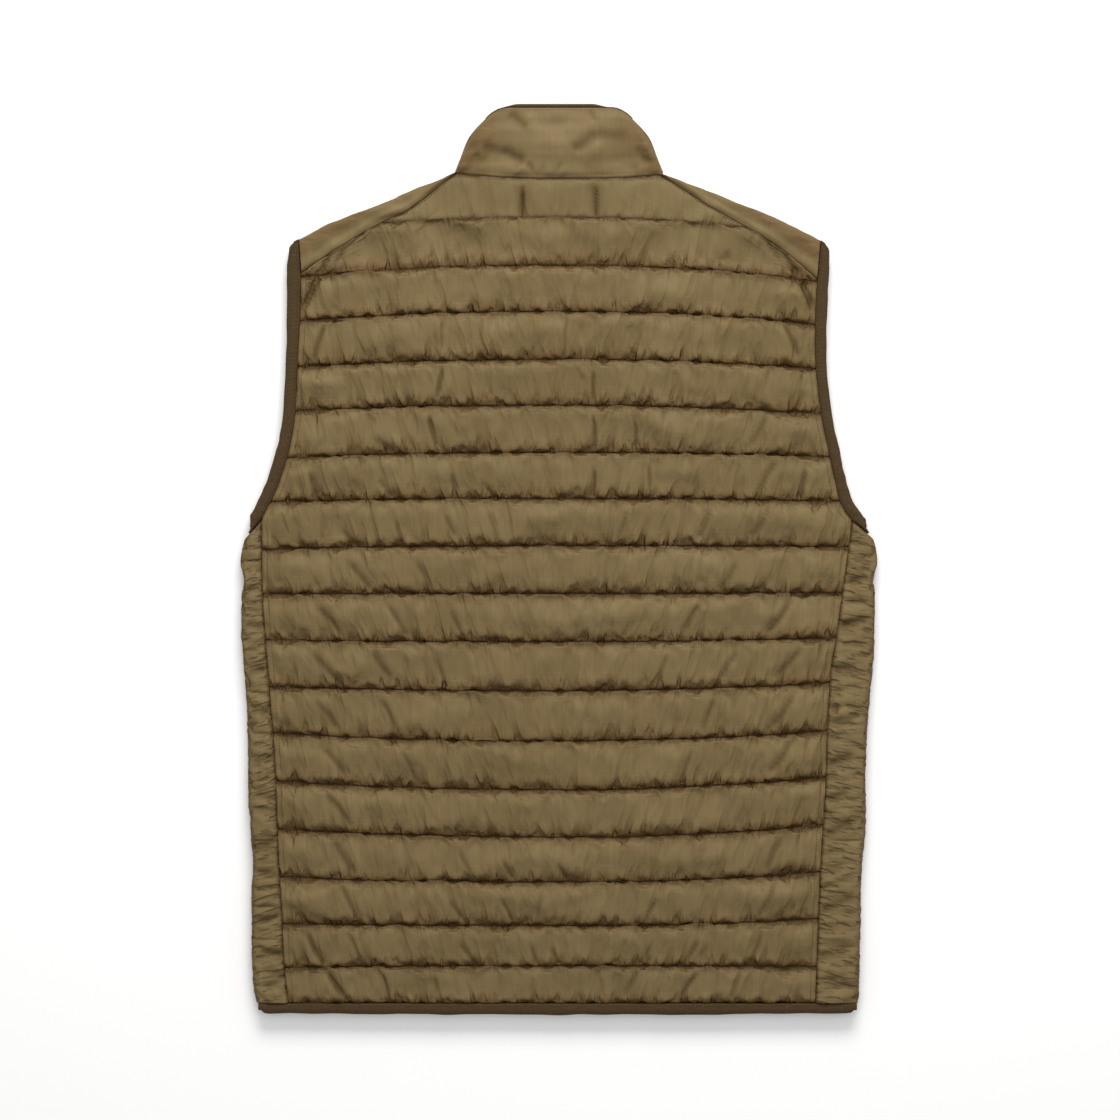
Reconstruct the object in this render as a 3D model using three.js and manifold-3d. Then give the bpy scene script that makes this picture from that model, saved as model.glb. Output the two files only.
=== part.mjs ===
// A men's light puffer vest, zipped up and laid flat on its front, size L.
// Millimetres. +X is the wearer's right on the upper side, +Y runs to the collar, +Z is up.
// The origin is on the surface that the vest lies on, under the middle of its outline.
import * as THREE from 'three';
import Module from 'manifold-3d';
import { mergeVertices } from 'three/addons/utils/BufferGeometryUtils.js';

const wasm = await Module();
wasm.setup();

// Layers of the flat vest, from the surface up
const SEAM_GAP = 0.3;
const FRONT_TOP = 8.0;
const BACK_UNDER = FRONT_TOP + SEAM_GAP;
const SEAM_TOP = 12.0;
const STITCH_TOP = 11.2;
const CROWN_TOP = 21.0;
const FOLD_Z = (FRONT_TOP + BACK_UNDER) / 2;

// Heights along the vest
const HEM_SEAM_Y = -377.0;
const HEM_Y = -387.2;
const COLLAR_TOP_Y = 387.2;
const UNDERARM_Y = 33.0;

const SIDES = { left: -1, right: 1 };

// Back panel: the seam to the shoulder panel, from the neck to the armhole
const SHOULDER_SEAM = {
  left: [
    { x: -86.9, y: 328.8 }, { x: -125.8, y: 298.8 }, { x: -151.3, y: 286.0 },
    { x: -192.1, y: 262.2 }, { x: -219.4, y: 243.0 },
  ],
  right: [
    { x: 86.3, y: 327.2 }, { x: 125.8, y: 301.3 }, { x: 162.4, y: 280.9 },
    { x: 191.3, y: 262.2 }, { x: 219.6, y: 238.4 },
  ],
};

// Armhole binding, from the shoulder fold down to the underarm fold: its inner and outer edge
const ARMHOLE = {
  left: [
    { inX: -221.5, inY: 271.5, outX: -229.3, outY: 267.5 },
    { inX: -219.6, inY: 246.0, outX: -231.2, outY: 248.0 },
    { inX: -219.6, inY: 218.0, outX: -231.2, outY: 219.0 },
    { inX: -221.9, inY: 173.0, outX: -232.2, outY: 173.0 },
    { inX: -224.4, inY: 122.0, outX: -234.8, outY: 123.5 },
    { inX: -230.0, inY: 91.0, outX: -239.8, outY: 95.5 },
    { inX: -238.9, inY: 62.5, outX: -248.0, outY: 68.5 },
    { inX: -246.5, inY: 46.5, outX: -256.0, outY: 50.0 },
    { inX: -252.0, inY: 36.0, outX: -261.6, outY: 39.5 },
    { inX: -258.5, inY: 28.0, outX: -265.6, outY: 31.0 },
    { inX: -262.5, inY: 23.0, outX: -267.2, outY: 25.0 },
  ],
  right: [
    { inX: 222.8, inY: 270.5, outX: 230.0, outY: 265.5 },
    { inX: 220.2, inY: 243.0, outX: 229.8, outY: 244.0 },
    { inX: 217.9, inY: 212.0, outX: 228.2, outY: 214.0 },
    { inX: 217.9, inY: 170.0, outX: 227.6, outY: 170.0 },
    { inX: 222.5, inY: 125.0, outX: 231.8, outY: 126.0 },
    { inX: 228.5, inY: 95.0, outX: 237.8, outY: 97.0 },
    { inX: 233.8, inY: 70.0, outX: 243.2, outY: 71.5 },
    { inX: 239.0, inY: 49.0, outX: 248.8, outY: 52.0 },
    { inX: 247.0, inY: 35.5, outX: 257.4, outY: 38.5 },
    { inX: 256.5, inY: 27.8, outX: 264.3, outY: 30.5 },
    { inX: 262.0, inY: 23.0, outX: 267.2, outY: 25.0 },
  ],
};

// Side seam of the back, and the folded edge of the side panel beyond it
const SIDE_SEAM = {
  left: [
    { x: -252.6, y: UNDERARM_Y }, { x: -252.5, y: -0.4 }, { x: -250.8, y: -48.0 },
    { x: -245.7, y: -114.3 }, { x: -241.4, y: -169.6 }, { x: -239.4, y: -226.0 },
    { x: -237.8, y: -262.0 }, { x: -235.5, y: -298.8 }, { x: -233.5, y: -344.7 },
    { x: -229.8, y: HEM_SEAM_Y },
  ],
  right: [
    { x: 249.2, y: UNDERARM_Y }, { x: 244.6, y: -0.4 }, { x: 240.6, y: -30.2 },
    { x: 235.5, y: -67.6 }, { x: 231.0, y: -95.0 }, { x: 227.8, y: -146.6 },
    { x: 226.6, y: -190.0 }, { x: 222.7, y: -254.6 }, { x: 220.3, y: -306.4 },
    { x: 217.9, y: HEM_SEAM_Y },
  ],
};
const SIDE_FOLD = {
  left: [
    { x: -266.8, y: 19.0 }, { x: -270.3, y: -0.4 }, { x: -268.8, y: -17.0 },
    { x: -270.2, y: -34.0 }, { x: -270.0, y: -68.0 }, { x: -266.6, y: -119.0 },
    { x: -264.8, y: -187.0 }, { x: -263.4, y: -222.0 }, { x: -261.2, y: -255.0 },
    { x: -261.6, y: -289.0 }, { x: -260.3, y: -357.0 }, { x: -257.0, y: HEM_SEAM_Y },
  ],
  right: [
    { x: 267.0, y: 19.0 }, { x: 270.3, y: -0.4 }, { x: 268.0, y: -17.0 },
    { x: 268.8, y: -34.0 }, { x: 267.6, y: -80.0 }, { x: 264.6, y: -119.0 },
    { x: 261.8, y: -165.0 }, { x: 261.0, y: -220.0 }, { x: 258.6, y: -255.0 },
    { x: 256.8, y: -292.0 }, { x: 256.2, y: -350.0 }, { x: 254.6, y: HEM_SEAM_Y },
  ],
};

// Shoulder panel at five places from the neck to the armhole: back seam, folded edge, front seam
const SHOULDER = {
  left: [
    { seamY: 327.0, foldX: -89.4, foldY: 328.4, frontX: -80.0, frontY: 303.6 },
    { seamY: 298.8, foldX: -125.8, foldY: 314.0, frontX: -118.0, frontY: 278.0 },
    { seamY: 286.0, foldX: -151.3, foldY: 303.2, frontX: -148.0, frontY: 257.0 },
    { seamY: 262.2, foldX: -192.1, foldY: 287.3, frontX: -190.0, frontY: 224.0 },
    { seamY: 243.0, foldX: -219.9, foldY: 273.6, frontX: -219.6, frontY: 197.0 },
  ],
  right: [
    { seamY: 325.4, foldX: 89.0, foldY: 327.2, frontX: 80.0, frontY: 303.6 },
    { seamY: 301.3, foldX: 125.8, foldY: 313.2, frontX: 118.0, frontY: 278.0 },
    { seamY: 280.9, foldX: 160.0, foldY: 300.2, frontX: 152.0, frontY: 254.0 },
    { seamY: 262.2, foldX: 191.3, foldY: 287.3, frontX: 190.0, frontY: 222.0 },
    { seamY: 238.4, foldX: 221.0, foldY: 272.6, frontX: 218.2, frontY: 197.0 },
  ],
};

// Stitched lines of the back: height at the left end, the middle and the right end,
// and how high the channel below each one crowns, as a part of the full puff
const BACK_LINES = [
  { left: 328.8, middle: 323.9, right: 327.2, puff: 0.42 },
  { left: 285.6, middle: 290.3, right: 281.4, puff: 0.90 },
  { left: 240.1, middle: 249.5, right: 235.9, puff: 0.95 },
  { left: 202.7, middle: 210.4, right: 199.3, puff: 1.0 },
  { left: 163.6, middle: 169.6, right: 161.9, puff: 1.0 },
  { left: 126.2, middle: 130.5, right: 123.7, puff: 1.0 },
  { left: 86.3, middle: 90.5, right: 87.1, puff: 1.0 },
  { left: 48.9, middle: 51.4, right: 49.7, puff: 1.0 },
  { left: 8.1, middle: 11.5, right: 10.6, puff: 1.0 },
  { left: -29.3, middle: -29.3, right: -28.5, puff: 1.0 },
  { left: -68.4, middle: -70.1, right: -66.7, puff: 1.0 },
  { left: -108.4, middle: -111.8, right: -105.0, puff: 1.0 },
  { left: -147.5, middle: -154.3, right: -145.8, puff: 1.0 },
  { left: -188.3, middle: -195.9, right: -184.9, puff: 1.0 },
  { left: -229.1, middle: -235.9, right: -225.7, puff: 1.0 },
  { left: -269.9, middle: -274.1, right: -265.6, puff: 1.0 },
  { left: -309.8, middle: -311.5, right: -305.6, puff: 0.95 },
  { left: -347.2, middle: -345.5, right: -346.4, puff: 0.75 },
  { left: HEM_SEAM_Y, middle: HEM_SEAM_Y, right: HEM_SEAM_Y, puff: 0 },
];
const CHANNEL_STEPS = [{ at: 0, rise: 0 }, { at: 0.17, rise: 0.7 }, { at: 0.5, rise: 1 }, { at: 0.83, rise: 0.7 }];
const YOKE_STEPS = [
  { at: 0, rise: 0 }, { at: 0.14, rise: 0.6 }, { at: 0.3, rise: 0.9 }, { at: 0.5, rise: 1 },
  { at: 0.7, rise: 0.95 }, { at: 0.86, rise: 0.7 },
];
const BACK_COLUMNS = 16;
const PUFF_EDGE = 26;
const LINE_BEND = 2.2;

// Two short stitched tucks in the yoke
const TUCKS = { places: [-31.0, 31.5], low: 292.0, high: 314.0, width: 8, depth: 2.6 };

// Stand collar: half width of the flattened loop and the height of its folded edge
const COLLAR_FOLD = [
  { half: 86.4, y: 329.4 }, { half: 85.4, y: 340.0 }, { half: 77.6, y: 356.4 },
  { half: 70.6, y: 366.0 }, { half: 62.5, y: 375.0 },
];
const COLLAR_FLAT = 44;
const COLLAR_HEIGHTS = [0, 0.14, 0.32, 0.5, 0.68, 0.86, 1];
const COLLAR_PUFF = [0, 0.7, 1, 1, 0.9, 0.6, 0.12];
const COLLAR_CROWN = 7.5;
const FRONT_COLLAR_TOP = 330.0;
const COLLAR_BINDING = 3.2;
const COLLAR_EDGE_Y = COLLAR_TOP_Y - COLLAR_BINDING;

// Front neck, from the centre front to the shoulder
const FRONT_NECK = { low: 268.0, rise: 60.0, half: 87.0, joinX: 80.0, panelX: 79.0 };

// Centre front and its zip, seen from the inside of the vest
const FRONT_EDGE = 5.2;
const FRONT_EDGE_TOP = 5.0;
const FACING_WIDTH = 15.6;
const FACING_RISE = 7.0;
const FRONT_SPLITS = [0, 0.25, 0.5, 0.75, 1];
const TAPE = { inner: 2.9, outer: 14.5, low: 5.3, high: 6.1 };
const CHAIN = { half: 2.5, low: 4.7, high: 6.2 };
const ZIP_FOOT_Y = -374.0;
const ZIP_TOP_Y = 322.0;
const ZIP_BOX = { half: 4.2, length: 9.0, low: 3.6, high: 6.9 };
const SLIDER = { half: 4.4, nose: 3.0, length: 11.0, plate: 0.9, low: 3.4, high: 7.7, post: 2.2 };
const BRIDGE = { width: 2.0, strap: 0.8, reach: 2.5, drop: 1.85, room: 1.15 };
const PULL = { half: 3.0, length: 21.0, thick: 1.2, slot: 3.2, slotHalf: 1.5, bar: 1.2, z: 2.3 };

const FABRIC = { color: 0x6f6040, roughness: 0.55, metalness: 0 };
const ELASTIC = { color: 0x4a3c26, roughness: 0.85, metalness: 0 };
const METAL = { color: 0x4b4740, roughness: 0.35, metalness: 0.9 };
const MOULDING = { color: 0x3c3222, roughness: 0.5, metalness: 0 };

const { lerp, clamp } = THREE.MathUtils;
const point = (x, y, z) => new THREE.Vector3(x, y, z);

function curveThrough(rows, xName = 'x', yName = 'y') {
  const points = rows.map((row) => point(row[xName], row[yName], 0));
  return new THREE.CatmullRomCurve3(points, false, 'centripetal');
}

// x on a falling curve at a given height
function reader(curve) {
  const samples = curve.getPoints(160);
  return (y) => {
    let upper = 0;
    while (upper < samples.length - 2 && samples[upper + 1].y > y) upper++;
    const high = samples[upper];
    const low = samples[upper + 1];
    return lerp(high.x, low.x, clamp((high.y - y) / (high.y - low.y), 0, 1));
  };
}

// A closed body through sections that have equally many outer and inner points
function loft(sections, closed = false) {
  const perSide = sections[0].outer.length;
  const ring = 2 * perSide;
  const positions = [];
  for (const { outer, inner } of sections) {
    for (const corner of [...outer, ...[...inner].reverse()]) positions.push(...corner);
  }
  const faces = [];
  const quad = (a, b, c, d) => faces.push(a, b, c, a, c, d);
  const spans = closed ? sections.length : sections.length - 1;
  for (let span = 0; span < spans; span++) {
    const here = span * ring;
    const next = ((span + 1) % sections.length) * ring;
    for (let p = 0; p < ring; p++) {
      const q = (p + 1) % ring;
      quad(here + p, here + q, next + q, next + p);
    }
  }
  const last = (sections.length - 1) * ring;
  for (let p = 0; !closed && p < perSide - 1; p++) {
    const back = ring - 1 - p;
    quad(p, back, back - 1, p + 1);
    quad(last + p, last + p + 1, last + back - 1, last + back);
  }
  return solid(positions, faces);
}

function signedVolume(positions, faces) {
  let total = 0;
  const [a, b, c] = [new THREE.Vector3(), new THREE.Vector3(), new THREE.Vector3()];
  for (let f = 0; f < faces.length; f += 3) {
    a.fromArray(positions, 3 * faces[f]);
    b.fromArray(positions, 3 * faces[f + 1]);
    c.fromArray(positions, 3 * faces[f + 2]);
    total += a.dot(b.cross(c)) / 6;
  }
  return total;
}

function solid(positions, faces) {
  const outward = signedVolume(positions, faces) > 0;
  const geometry = new THREE.BufferGeometry();
  geometry.setAttribute('position', new THREE.Float32BufferAttribute(positions, 3));
  geometry.setIndex(outward ? faces : [...faces].reverse());
  geometry.computeVertexNormals();
  return geometry;
}

const shoulderSeam = {};
const armholeInner = {};
const armholeOuter = {};
const sideSeam = {};
const sideFold = {};
for (const side of Object.keys(SIDES)) {
  shoulderSeam[side] = reader(curveThrough(SHOULDER_SEAM[side]));
  armholeInner[side] = curveThrough(ARMHOLE[side], 'inX', 'inY');
  armholeOuter[side] = curveThrough(ARMHOLE[side], 'outX', 'outY');
  sideSeam[side] = reader(curveThrough(SIDE_SEAM[side]));
  sideFold[side] = reader(curveThrough(SIDE_FOLD[side]));
}

// The outline of a panel, from the neck down: shoulder, armhole, then side seam
function panelEdge(side, shoulder, cornerY) {
  const armhole = reader(armholeInner[side]);
  return (y) => {
    if (y > cornerY) return shoulder(y);
    return y > UNDERARM_Y ? armhole(y) : sideSeam[side](y);
  };
}

// The same outline drawn in by a gap, measured square to the seam
function drawnIn(side, edge, gap) {
  const reach = 2;
  return (y) => {
    const slope = (edge(y + reach) - edge(y - reach)) / (2 * reach);
    return edge(y) - SIDES[side] * gap * Math.sqrt(1 + slope * slope);
  };
}

function backLine(line, across) {
  const end = across < 0 ? line.left : line.right;
  return lerp(line.middle, end, Math.abs(across) ** LINE_BEND);
}

function tuckDepth(x, y) {
  const along = clamp((y - TUCKS.low) / 6, 0, 1) * clamp((TUCKS.high + 4 - y) / 6, 0, 1);
  let depth = 0;
  for (const place of TUCKS.places) depth += Math.exp(-(((x - place) / TUCKS.width) ** 2));
  return TUCKS.depth * along * depth;
}

// Quilted back: channels crown between the stitched lines over a plain inside
function backPanel() {
  const edges = {};
  for (const side of Object.keys(SIDES)) {
    const cornerY = SHOULDER_SEAM[side].at(-1).y;
    edges[side] = drawnIn(side, panelEdge(side, shoulderSeam[side], cornerY), SEAM_GAP);
  }
  const sections = [];
  for (let channel = 0; channel < BACK_LINES.length; channel++) {
    const line = BACK_LINES[channel];
    const below = BACK_LINES[Math.min(channel + 1, BACK_LINES.length - 1)];
    let steps = channel === 0 ? YOKE_STEPS : CHANNEL_STEPS;
    if (line === below) steps = [CHANNEL_STEPS[0]];
    for (const { at, rise } of steps) {
      const row = {
        left: lerp(line.left, below.left, at),
        middle: lerp(line.middle, below.middle, at),
        right: lerp(line.right, below.right, at),
      };
      sections.push(backRow(row, edges, rise * line.puff));
    }
  }
  return loft(sections);
}

function backRow(row, edges, rise) {
  const leftX = edges.left(row.left);
  const rightX = edges.right(row.right);
  const outer = [];
  const inner = [];
  for (let column = 0; column <= BACK_COLUMNS; column++) {
    const across = -Math.cos((Math.PI * column) / BACK_COLUMNS);
    const x = lerp(leftX, rightX, (across + 1) / 2);
    const y = backLine(row, across);
    const fromEdge = clamp(Math.min(x - leftX, rightX - x) / PUFF_EDGE, 0, 1);
    const swell = Math.sin((fromEdge * Math.PI) / 2);
    const z = STITCH_TOP + (CROWN_TOP - STITCH_TOP) * rise * (0.25 + 0.75 * swell) - tuckDepth(x, y);
    outer.push(point(x, y, z));
    inner.push(point(x, y, BACK_UNDER));
  }
  return { outer, inner };
}

// Where a folded wall's points lie between its seam and its folded edge, from back to front
const FOLD_STEPS = [
  { from: 'back', reach: 0, z: SEAM_TOP, slit: 0, slitZ: BACK_UNDER },
  { from: 'back', reach: 0.3, z: 14.2, slit: 0.25, slitZ: BACK_UNDER },
  { from: 'back', reach: 0.66, z: 14.0, slit: 0.5, slitZ: BACK_UNDER },
  { from: 'back', reach: 0.9, z: 11.8, slit: 0.7, slitZ: BACK_UNDER },
  { from: 'back', reach: 1, z: 7.6, slit: 0.82, slitZ: FOLD_Z },
  { from: 'front', reach: 0.95, z: 2.6, slit: 0.7, slitZ: FRONT_TOP },
  { from: 'front', reach: 0.8, z: 0, slit: 0.5, slitZ: FRONT_TOP },
  { from: 'front', reach: 0.4, z: 0, slit: 0.25, slitZ: FRONT_TOP },
  { from: 'front', reach: 0, z: 0, slit: 0, slitZ: FRONT_TOP },
];

function foldedSection(places, lift = 0) {
  const outer = [];
  const inner = [];
  for (const step of FOLD_STEPS) {
    const seam = places[step.from];
    const outside = seam.clone().lerp(places.fold, step.reach);
    const inside = seam.clone().lerp(places.fold, step.slit);
    const onTop = step.from === 'back' && step.reach > 0 && step.reach < 1;
    outer.push(outside.setZ(step.z + (onTop ? lift : 0)));
    inner.push(inside.setZ(step.slitZ));
  }
  return { outer, inner };
}

// Side panel: gathered along its seams, so its upper wall ripples down its length
const SIDE_ROWS = 38;
const SIDE_FOLD_TOP = 17.4;
const GATHER = { pitch: 27, height: 0.8 };

function sidePanel(side) {
  const sections = [];
  for (let row = 0; row <= SIDE_ROWS; row++) {
    const down = row / SIDE_ROWS;
    const seamY = lerp(UNDERARM_Y - ARMHOLE_GAP, HEM_SEAM_Y, down);
    const foldY = lerp(SIDE_FOLD_TOP, HEM_SEAM_Y, down);
    const seam = point(sideSeam[side](seamY), seamY, 0);
    const fold = point(sideFold[side](foldY), foldY, 0);
    const lift = GATHER.height * Math.sin((2 * Math.PI * seamY) / GATHER.pitch);
    sections.push(foldedSection({ back: seam, fold, front: seam }, lift));
  }
  return loft(sections);
}

const SHOULDER_ROWS = 12;
const ARMHOLE_GAP = 0.6;

function shoulderPanel(side) {
  const rows = SHOULDER[side];
  const armhole = reader(armholeInner[side]);
  const folds = curveThrough(rows, 'foldX', 'foldY');
  const fronts = curveThrough(rows, 'frontX', 'frontY');
  const seams = curveThrough(rows.map((row) => ({ x: shoulderSeam[side](row.seamY), y: row.seamY })));
  const sections = [];
  for (let row = 0; row <= SHOULDER_ROWS; row++) {
    const along = row / SHOULDER_ROWS;
    const back = seams.getPoint(along);
    back.x = shoulderSeam[side](back.y) + SIDES[side] * SEAM_GAP;
    const places = { back, fold: folds.getPoint(along), front: fronts.getPoint(along) };
    sections.push(foldedSection(places));
  }
  const { outer, inner } = sections.at(-1);
  for (const corner of [...outer, ...inner]) corner.x = armhole(corner.y) - SIDES[side] * ARMHOLE_GAP;
  return loft(sections);
}

function frontNeck(x) {
  const { low, rise, half, joinX } = FRONT_NECK;
  const round = (at) => low + rise * (1 - Math.sqrt(1 - (at / half) ** 2));
  if (Math.abs(x) <= joinX) return round(Math.abs(x));
  return lerp(round(joinX), low + rise, (Math.abs(x) - joinX) / (half - joinX));
}

// Front panel: face down, so its quilting is pressed flat against the surface
const FRONT_YOKE = { neckCentre: 268.0, neckEdge: 303.6, corner: 195.5, rows: 11 };
const FRONT_ROW_PITCH = 14;
const FRONT_GAP = 0.6;

// Columns of a front, from its thin edge at the zip to its seam at the side
function frontColumns(edgeX) {
  const full = FACING_WIDTH + FACING_RISE;
  const columns = [{ x: FRONT_EDGE, top: FRONT_EDGE_TOP }, { x: FACING_WIDTH, top: FRONT_EDGE_TOP }];
  for (const split of FRONT_SPLITS) columns.push({ x: lerp(full, edgeX, split), top: FRONT_TOP });
  return columns;
}

function frontPanel(side) {
  const shoulder = reader(curveThrough(SHOULDER[side], 'frontX', 'frontY'));
  const { neckCentre, neckEdge, corner, rows: yokeRows } = FRONT_YOKE;
  const edge = drawnIn(side, panelEdge(side, shoulder, corner), FRONT_GAP);
  const rows = [];
  for (let row = 0; row < yokeRows; row++) {
    const down = row / yokeRows;
    rows.push({ centre: lerp(neckCentre, corner, down), edge: lerp(neckEdge, corner, down) });
  }
  const lowRows = Math.round((corner - HEM_SEAM_Y) / FRONT_ROW_PITCH);
  for (let row = 0; row <= lowRows; row++) {
    const y = lerp(corner, HEM_SEAM_Y, row / lowRows);
    rows.push({ centre: y, edge: y });
  }
  const sections = rows.map((row, index) => {
    const neckRow = index === 0;
    const edgeX = neckRow ? FRONT_NECK.panelX : Math.abs(edge(row.edge));
    const heightAt = (x) => {
      const along = (x - FRONT_EDGE) / (edgeX - FRONT_EDGE);
      return neckRow ? frontNeck(x) - SEAM_GAP : lerp(row.centre, row.edge, along ** 2);
    };
    const outer = [];
    const inner = [];
    for (const { x, top } of frontColumns(edgeX)) {
      outer.push(point(SIDES[side] * x, heightAt(x), 0));
      inner.push(point(SIDES[side] * x, heightAt(x), top));
    }
    return { outer, inner };
  });
  return loft(sections);
}

function neckSeam(x) {
  const across = clamp(x / COLLAR_FOLD[0].half, -1, 1);
  return backLine(BACK_LINES[0], across);
}

function collarTop(x) {
  const foldTop = COLLAR_FOLD.at(-1);
  const past = clamp((Math.abs(x) - COLLAR_FLAT) / (foldTop.half - COLLAR_FLAT), 0, 1);
  return lerp(COLLAR_EDGE_Y, foldTop.y, past ** 2);
}

function collarFrontTop(x) {
  const foldTop = COLLAR_FOLD.at(-1);
  return lerp(FRONT_COLLAR_TOP, foldTop.y, clamp(Math.abs(x) / foldTop.half, 0, 1) ** 2);
}

const collarFold = curveThrough(COLLAR_FOLD, 'half', 'y');

// One section of the collar's loop, from its seam to its top edge, at a share of the way round
function collarPoint(station, height) {
  const fold = collarFold.getPoint(height);
  const seamHalf = COLLAR_FOLD[0].half;
  const share = station.x / seamHalf;
  const x = Math.abs(station.x) <= FACING_WIDTH && station.level === 'front' ? station.x : share * fold.x;
  if (station.level === 'fold') return { x: Math.sign(share) * fold.x, y: fold.y };
  const topX = share * COLLAR_FOLD.at(-1).half;
  if (station.level === 'back') {
    return { x, y: lerp(neckSeam(station.x) + SEAM_GAP, collarTop(topX), height) };
  }
  return { x, y: lerp(frontNeck(station.x) + SEAM_GAP, collarFrontTop(topX), height) };
}

function collarHeights(station, puff) {
  if (station.level === 'back') {
    const soft = Math.cos((station.x / COLLAR_FOLD[0].half) * (Math.PI / 2)) ** 0.35;
    return { outerZ: SEAM_TOP - 0.6 + COLLAR_CROWN * puff * clamp(soft, 0.25, 1), innerZ: BACK_UNDER };
  }
  if (station.level === 'fold') return { outerZ: FOLD_Z, innerZ: FOLD_Z };
  const edge = Math.abs(station.x) <= FACING_WIDTH;
  return { outerZ: 0, innerZ: edge ? FRONT_EDGE_TOP : FRONT_TOP };
}

// Stations of the collar's loop, from the centre front round the back and to the front again
const COLLAR_BACK = [-1, -0.86, -0.66, -0.42, -0.2, 0, 0.2, 0.42, 0.66, 0.86, 1];
const COLLAR_ROUND = 5;
const COLLAR_SLIT = 3;

function collarStations() {
  const half = COLLAR_FOLD[0].half;
  const fronts = frontColumns(FRONT_NECK.panelX).map(({ x }) => ({ level: 'front', x }));
  return [
    ...fronts.map(({ level, x }) => ({ level, x: -x })),
    { level: 'fold', x: -half },
    ...COLLAR_BACK.map((share) => ({ level: 'back', x: (half - COLLAR_ROUND) * share })),
    { level: 'fold', x: half },
    ...fronts.reverse(),
  ];
}

function collar() {
  const sections = collarStations().map((station) => {
    const outer = [];
    const inner = [];
    COLLAR_HEIGHTS.forEach((height, index) => {
      const { x, y } = collarPoint(station, height);
      const { outerZ, innerZ } = collarHeights(station, COLLAR_PUFF[index]);
      const inset = station.level === 'fold' ? Math.sign(x) * COLLAR_SLIT : 0;
      outer.push(point(x, y, outerZ));
      inner.push(point(x - inset, y, innerZ));
    });
    return { outer, inner };
  });
  return loft(sections);
}

// Narrow elastic on the collar's top edge: it goes on from the collar's own top points
function collarBinding() {
  const last = COLLAR_HEIGHTS.length - 1;
  const sections = collarStations().reverse().map((station) => {
    const { x, y } = collarPoint(station, 1);
    const { outerZ, innerZ } = collarHeights(station, COLLAR_PUFF[last]);
    const inset = station.level === 'fold' ? Math.sign(x) * COLLAR_SLIT : 0;
    const low = y + (station.level === 'fold' ? 0 : SEAM_GAP);
    const high = low + COLLAR_BINDING - (station.level === 'fold' ? -0.3 : SEAM_GAP);
    const middle = (outerZ + innerZ) / 2;
    const lowFold = station.level === 'fold' ? 1.7 : 0;
    return {
      outer: [point(x, low + lowFold, outerZ), point(x, high - 0.8, outerZ), point(x, high, lerp(middle, outerZ, 0.5))],
      inner: [
        point(x - inset, low + lowFold, innerZ), point(x - inset, high - 0.8, innerZ),
        point(x - inset * 0.6, high, lerp(middle, innerZ, 0.5)),
      ],
    };
  });
  return loft(sections);
}

// A bound edge in section: a flat band that is rounded at the edge that it wraps
const BAND_STEPS = [
  { across: 0, backZ: 12.0, frontZ: 0 }, { across: 0.5, backZ: 13.2, frontZ: 0 },
  { across: 0.9, backZ: 12.4, frontZ: 0 }, { across: 1, backZ: 10.6, frontZ: 2.4 },
];

function bandSection(inside, outside, level) {
  const outer = [];
  const inner = [];
  for (const { across, backZ, frontZ } of BAND_STEPS) {
    const place = inside.clone().lerp(outside, across);
    const lip = across === 1 ? 0.8 : 0;
    outer.push(place.clone().setZ(level === 'back' ? backZ : frontZ));
    inner.push(place.clone().setZ(level === 'back' ? BACK_UNDER + lip : FRONT_TOP - lip));
  }
  return { outer, inner };
}

// Where a band turns over from the back to the front, its section stands upright
function turnSection(inside, outside, away) {
  const outer = [];
  const inner = [];
  for (const { across } of BAND_STEPS) {
    const place = inside.clone().lerp(outside, across);
    outer.push(place.clone().add(away).setZ(FOLD_Z));
    inner.push(place.clone().setZ(FOLD_Z));
  }
  return { outer, inner };
}

const ARMHOLE_STEPS = 22;

function armholeBinding(side) {
  const pair = (along) => ({
    inside: armholeInner[side].getPoint(along),
    outside: armholeOuter[side].getPoint(along),
  });
  const walk = [];
  for (let step = 0; step <= ARMHOLE_STEPS; step++) walk.push(pair(step / ARMHOLE_STEPS));
  const sections = walk.map(({ inside, outside }) => bandSection(inside, outside, 'back'));
  const foot = walk.at(-1);
  sections.push(turnSection(foot.inside, foot.outside, point(SIDES[side] * 1.2, -2.0, 0)));
  for (const { inside, outside } of [...walk].reverse()) {
    sections.push(bandSection(inside, outside, 'front'));
  }
  sections.push(turnSection(walk[0].inside, walk[0].outside, point(0, 3.0, 0)));
  return loft(sections, true);
}

function hemBinding() {
  const halves = { left: -sideFold.left(HEM_SEAM_Y), right: sideFold.right(HEM_SEAM_Y) };
  const shareOut = [0.03, 0.3, 0.55, 0.78, 0.96];
  const backShares = [-0.975, -0.85, -0.7, -0.55, -0.4, -0.25, -0.1, 0, 0.1, 0.25, 0.4, 0.55, 0.7, 0.85, 0.975];
  const turnIn = 5;
  const seamY = HEM_SEAM_Y - SEAM_GAP;
  const footAt = (x) => lerp(HEM_Y, HEM_Y + 1.4, (Math.abs(x) / halves.left) ** 2);
  const section = (x, level) => bandSection(point(x, seamY, 0), point(x, footAt(x), 0), level);
  const turn = (side) => {
    const x = SIDES[side] * (halves[side] - turnIn);
    return turnSection(point(x, seamY, 0), point(x, footAt(x) + 2.5, 0), point(SIDES[side] * (turnIn - 1), 0, 0));
  };
  const frontX = (side, share) => SIDES[side] * lerp(FRONT_EDGE, halves[side] - turnIn, share);
  const sections = [section(-FRONT_EDGE, 'front')];
  for (const share of shareOut) sections.push(section(frontX('left', share), 'front'));
  sections.push(turn('left'));
  for (const share of backShares) {
    const half = share < 0 ? halves.left : halves.right;
    sections.push(section((half - turnIn) * share, 'back'));
  }
  sections.push(turn('right'));
  for (const share of [...shareOut].reverse()) sections.push(section(frontX('right', share), 'front'));
  sections.push(section(FRONT_EDGE, 'front'));
  return loft(sections);
}

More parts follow.
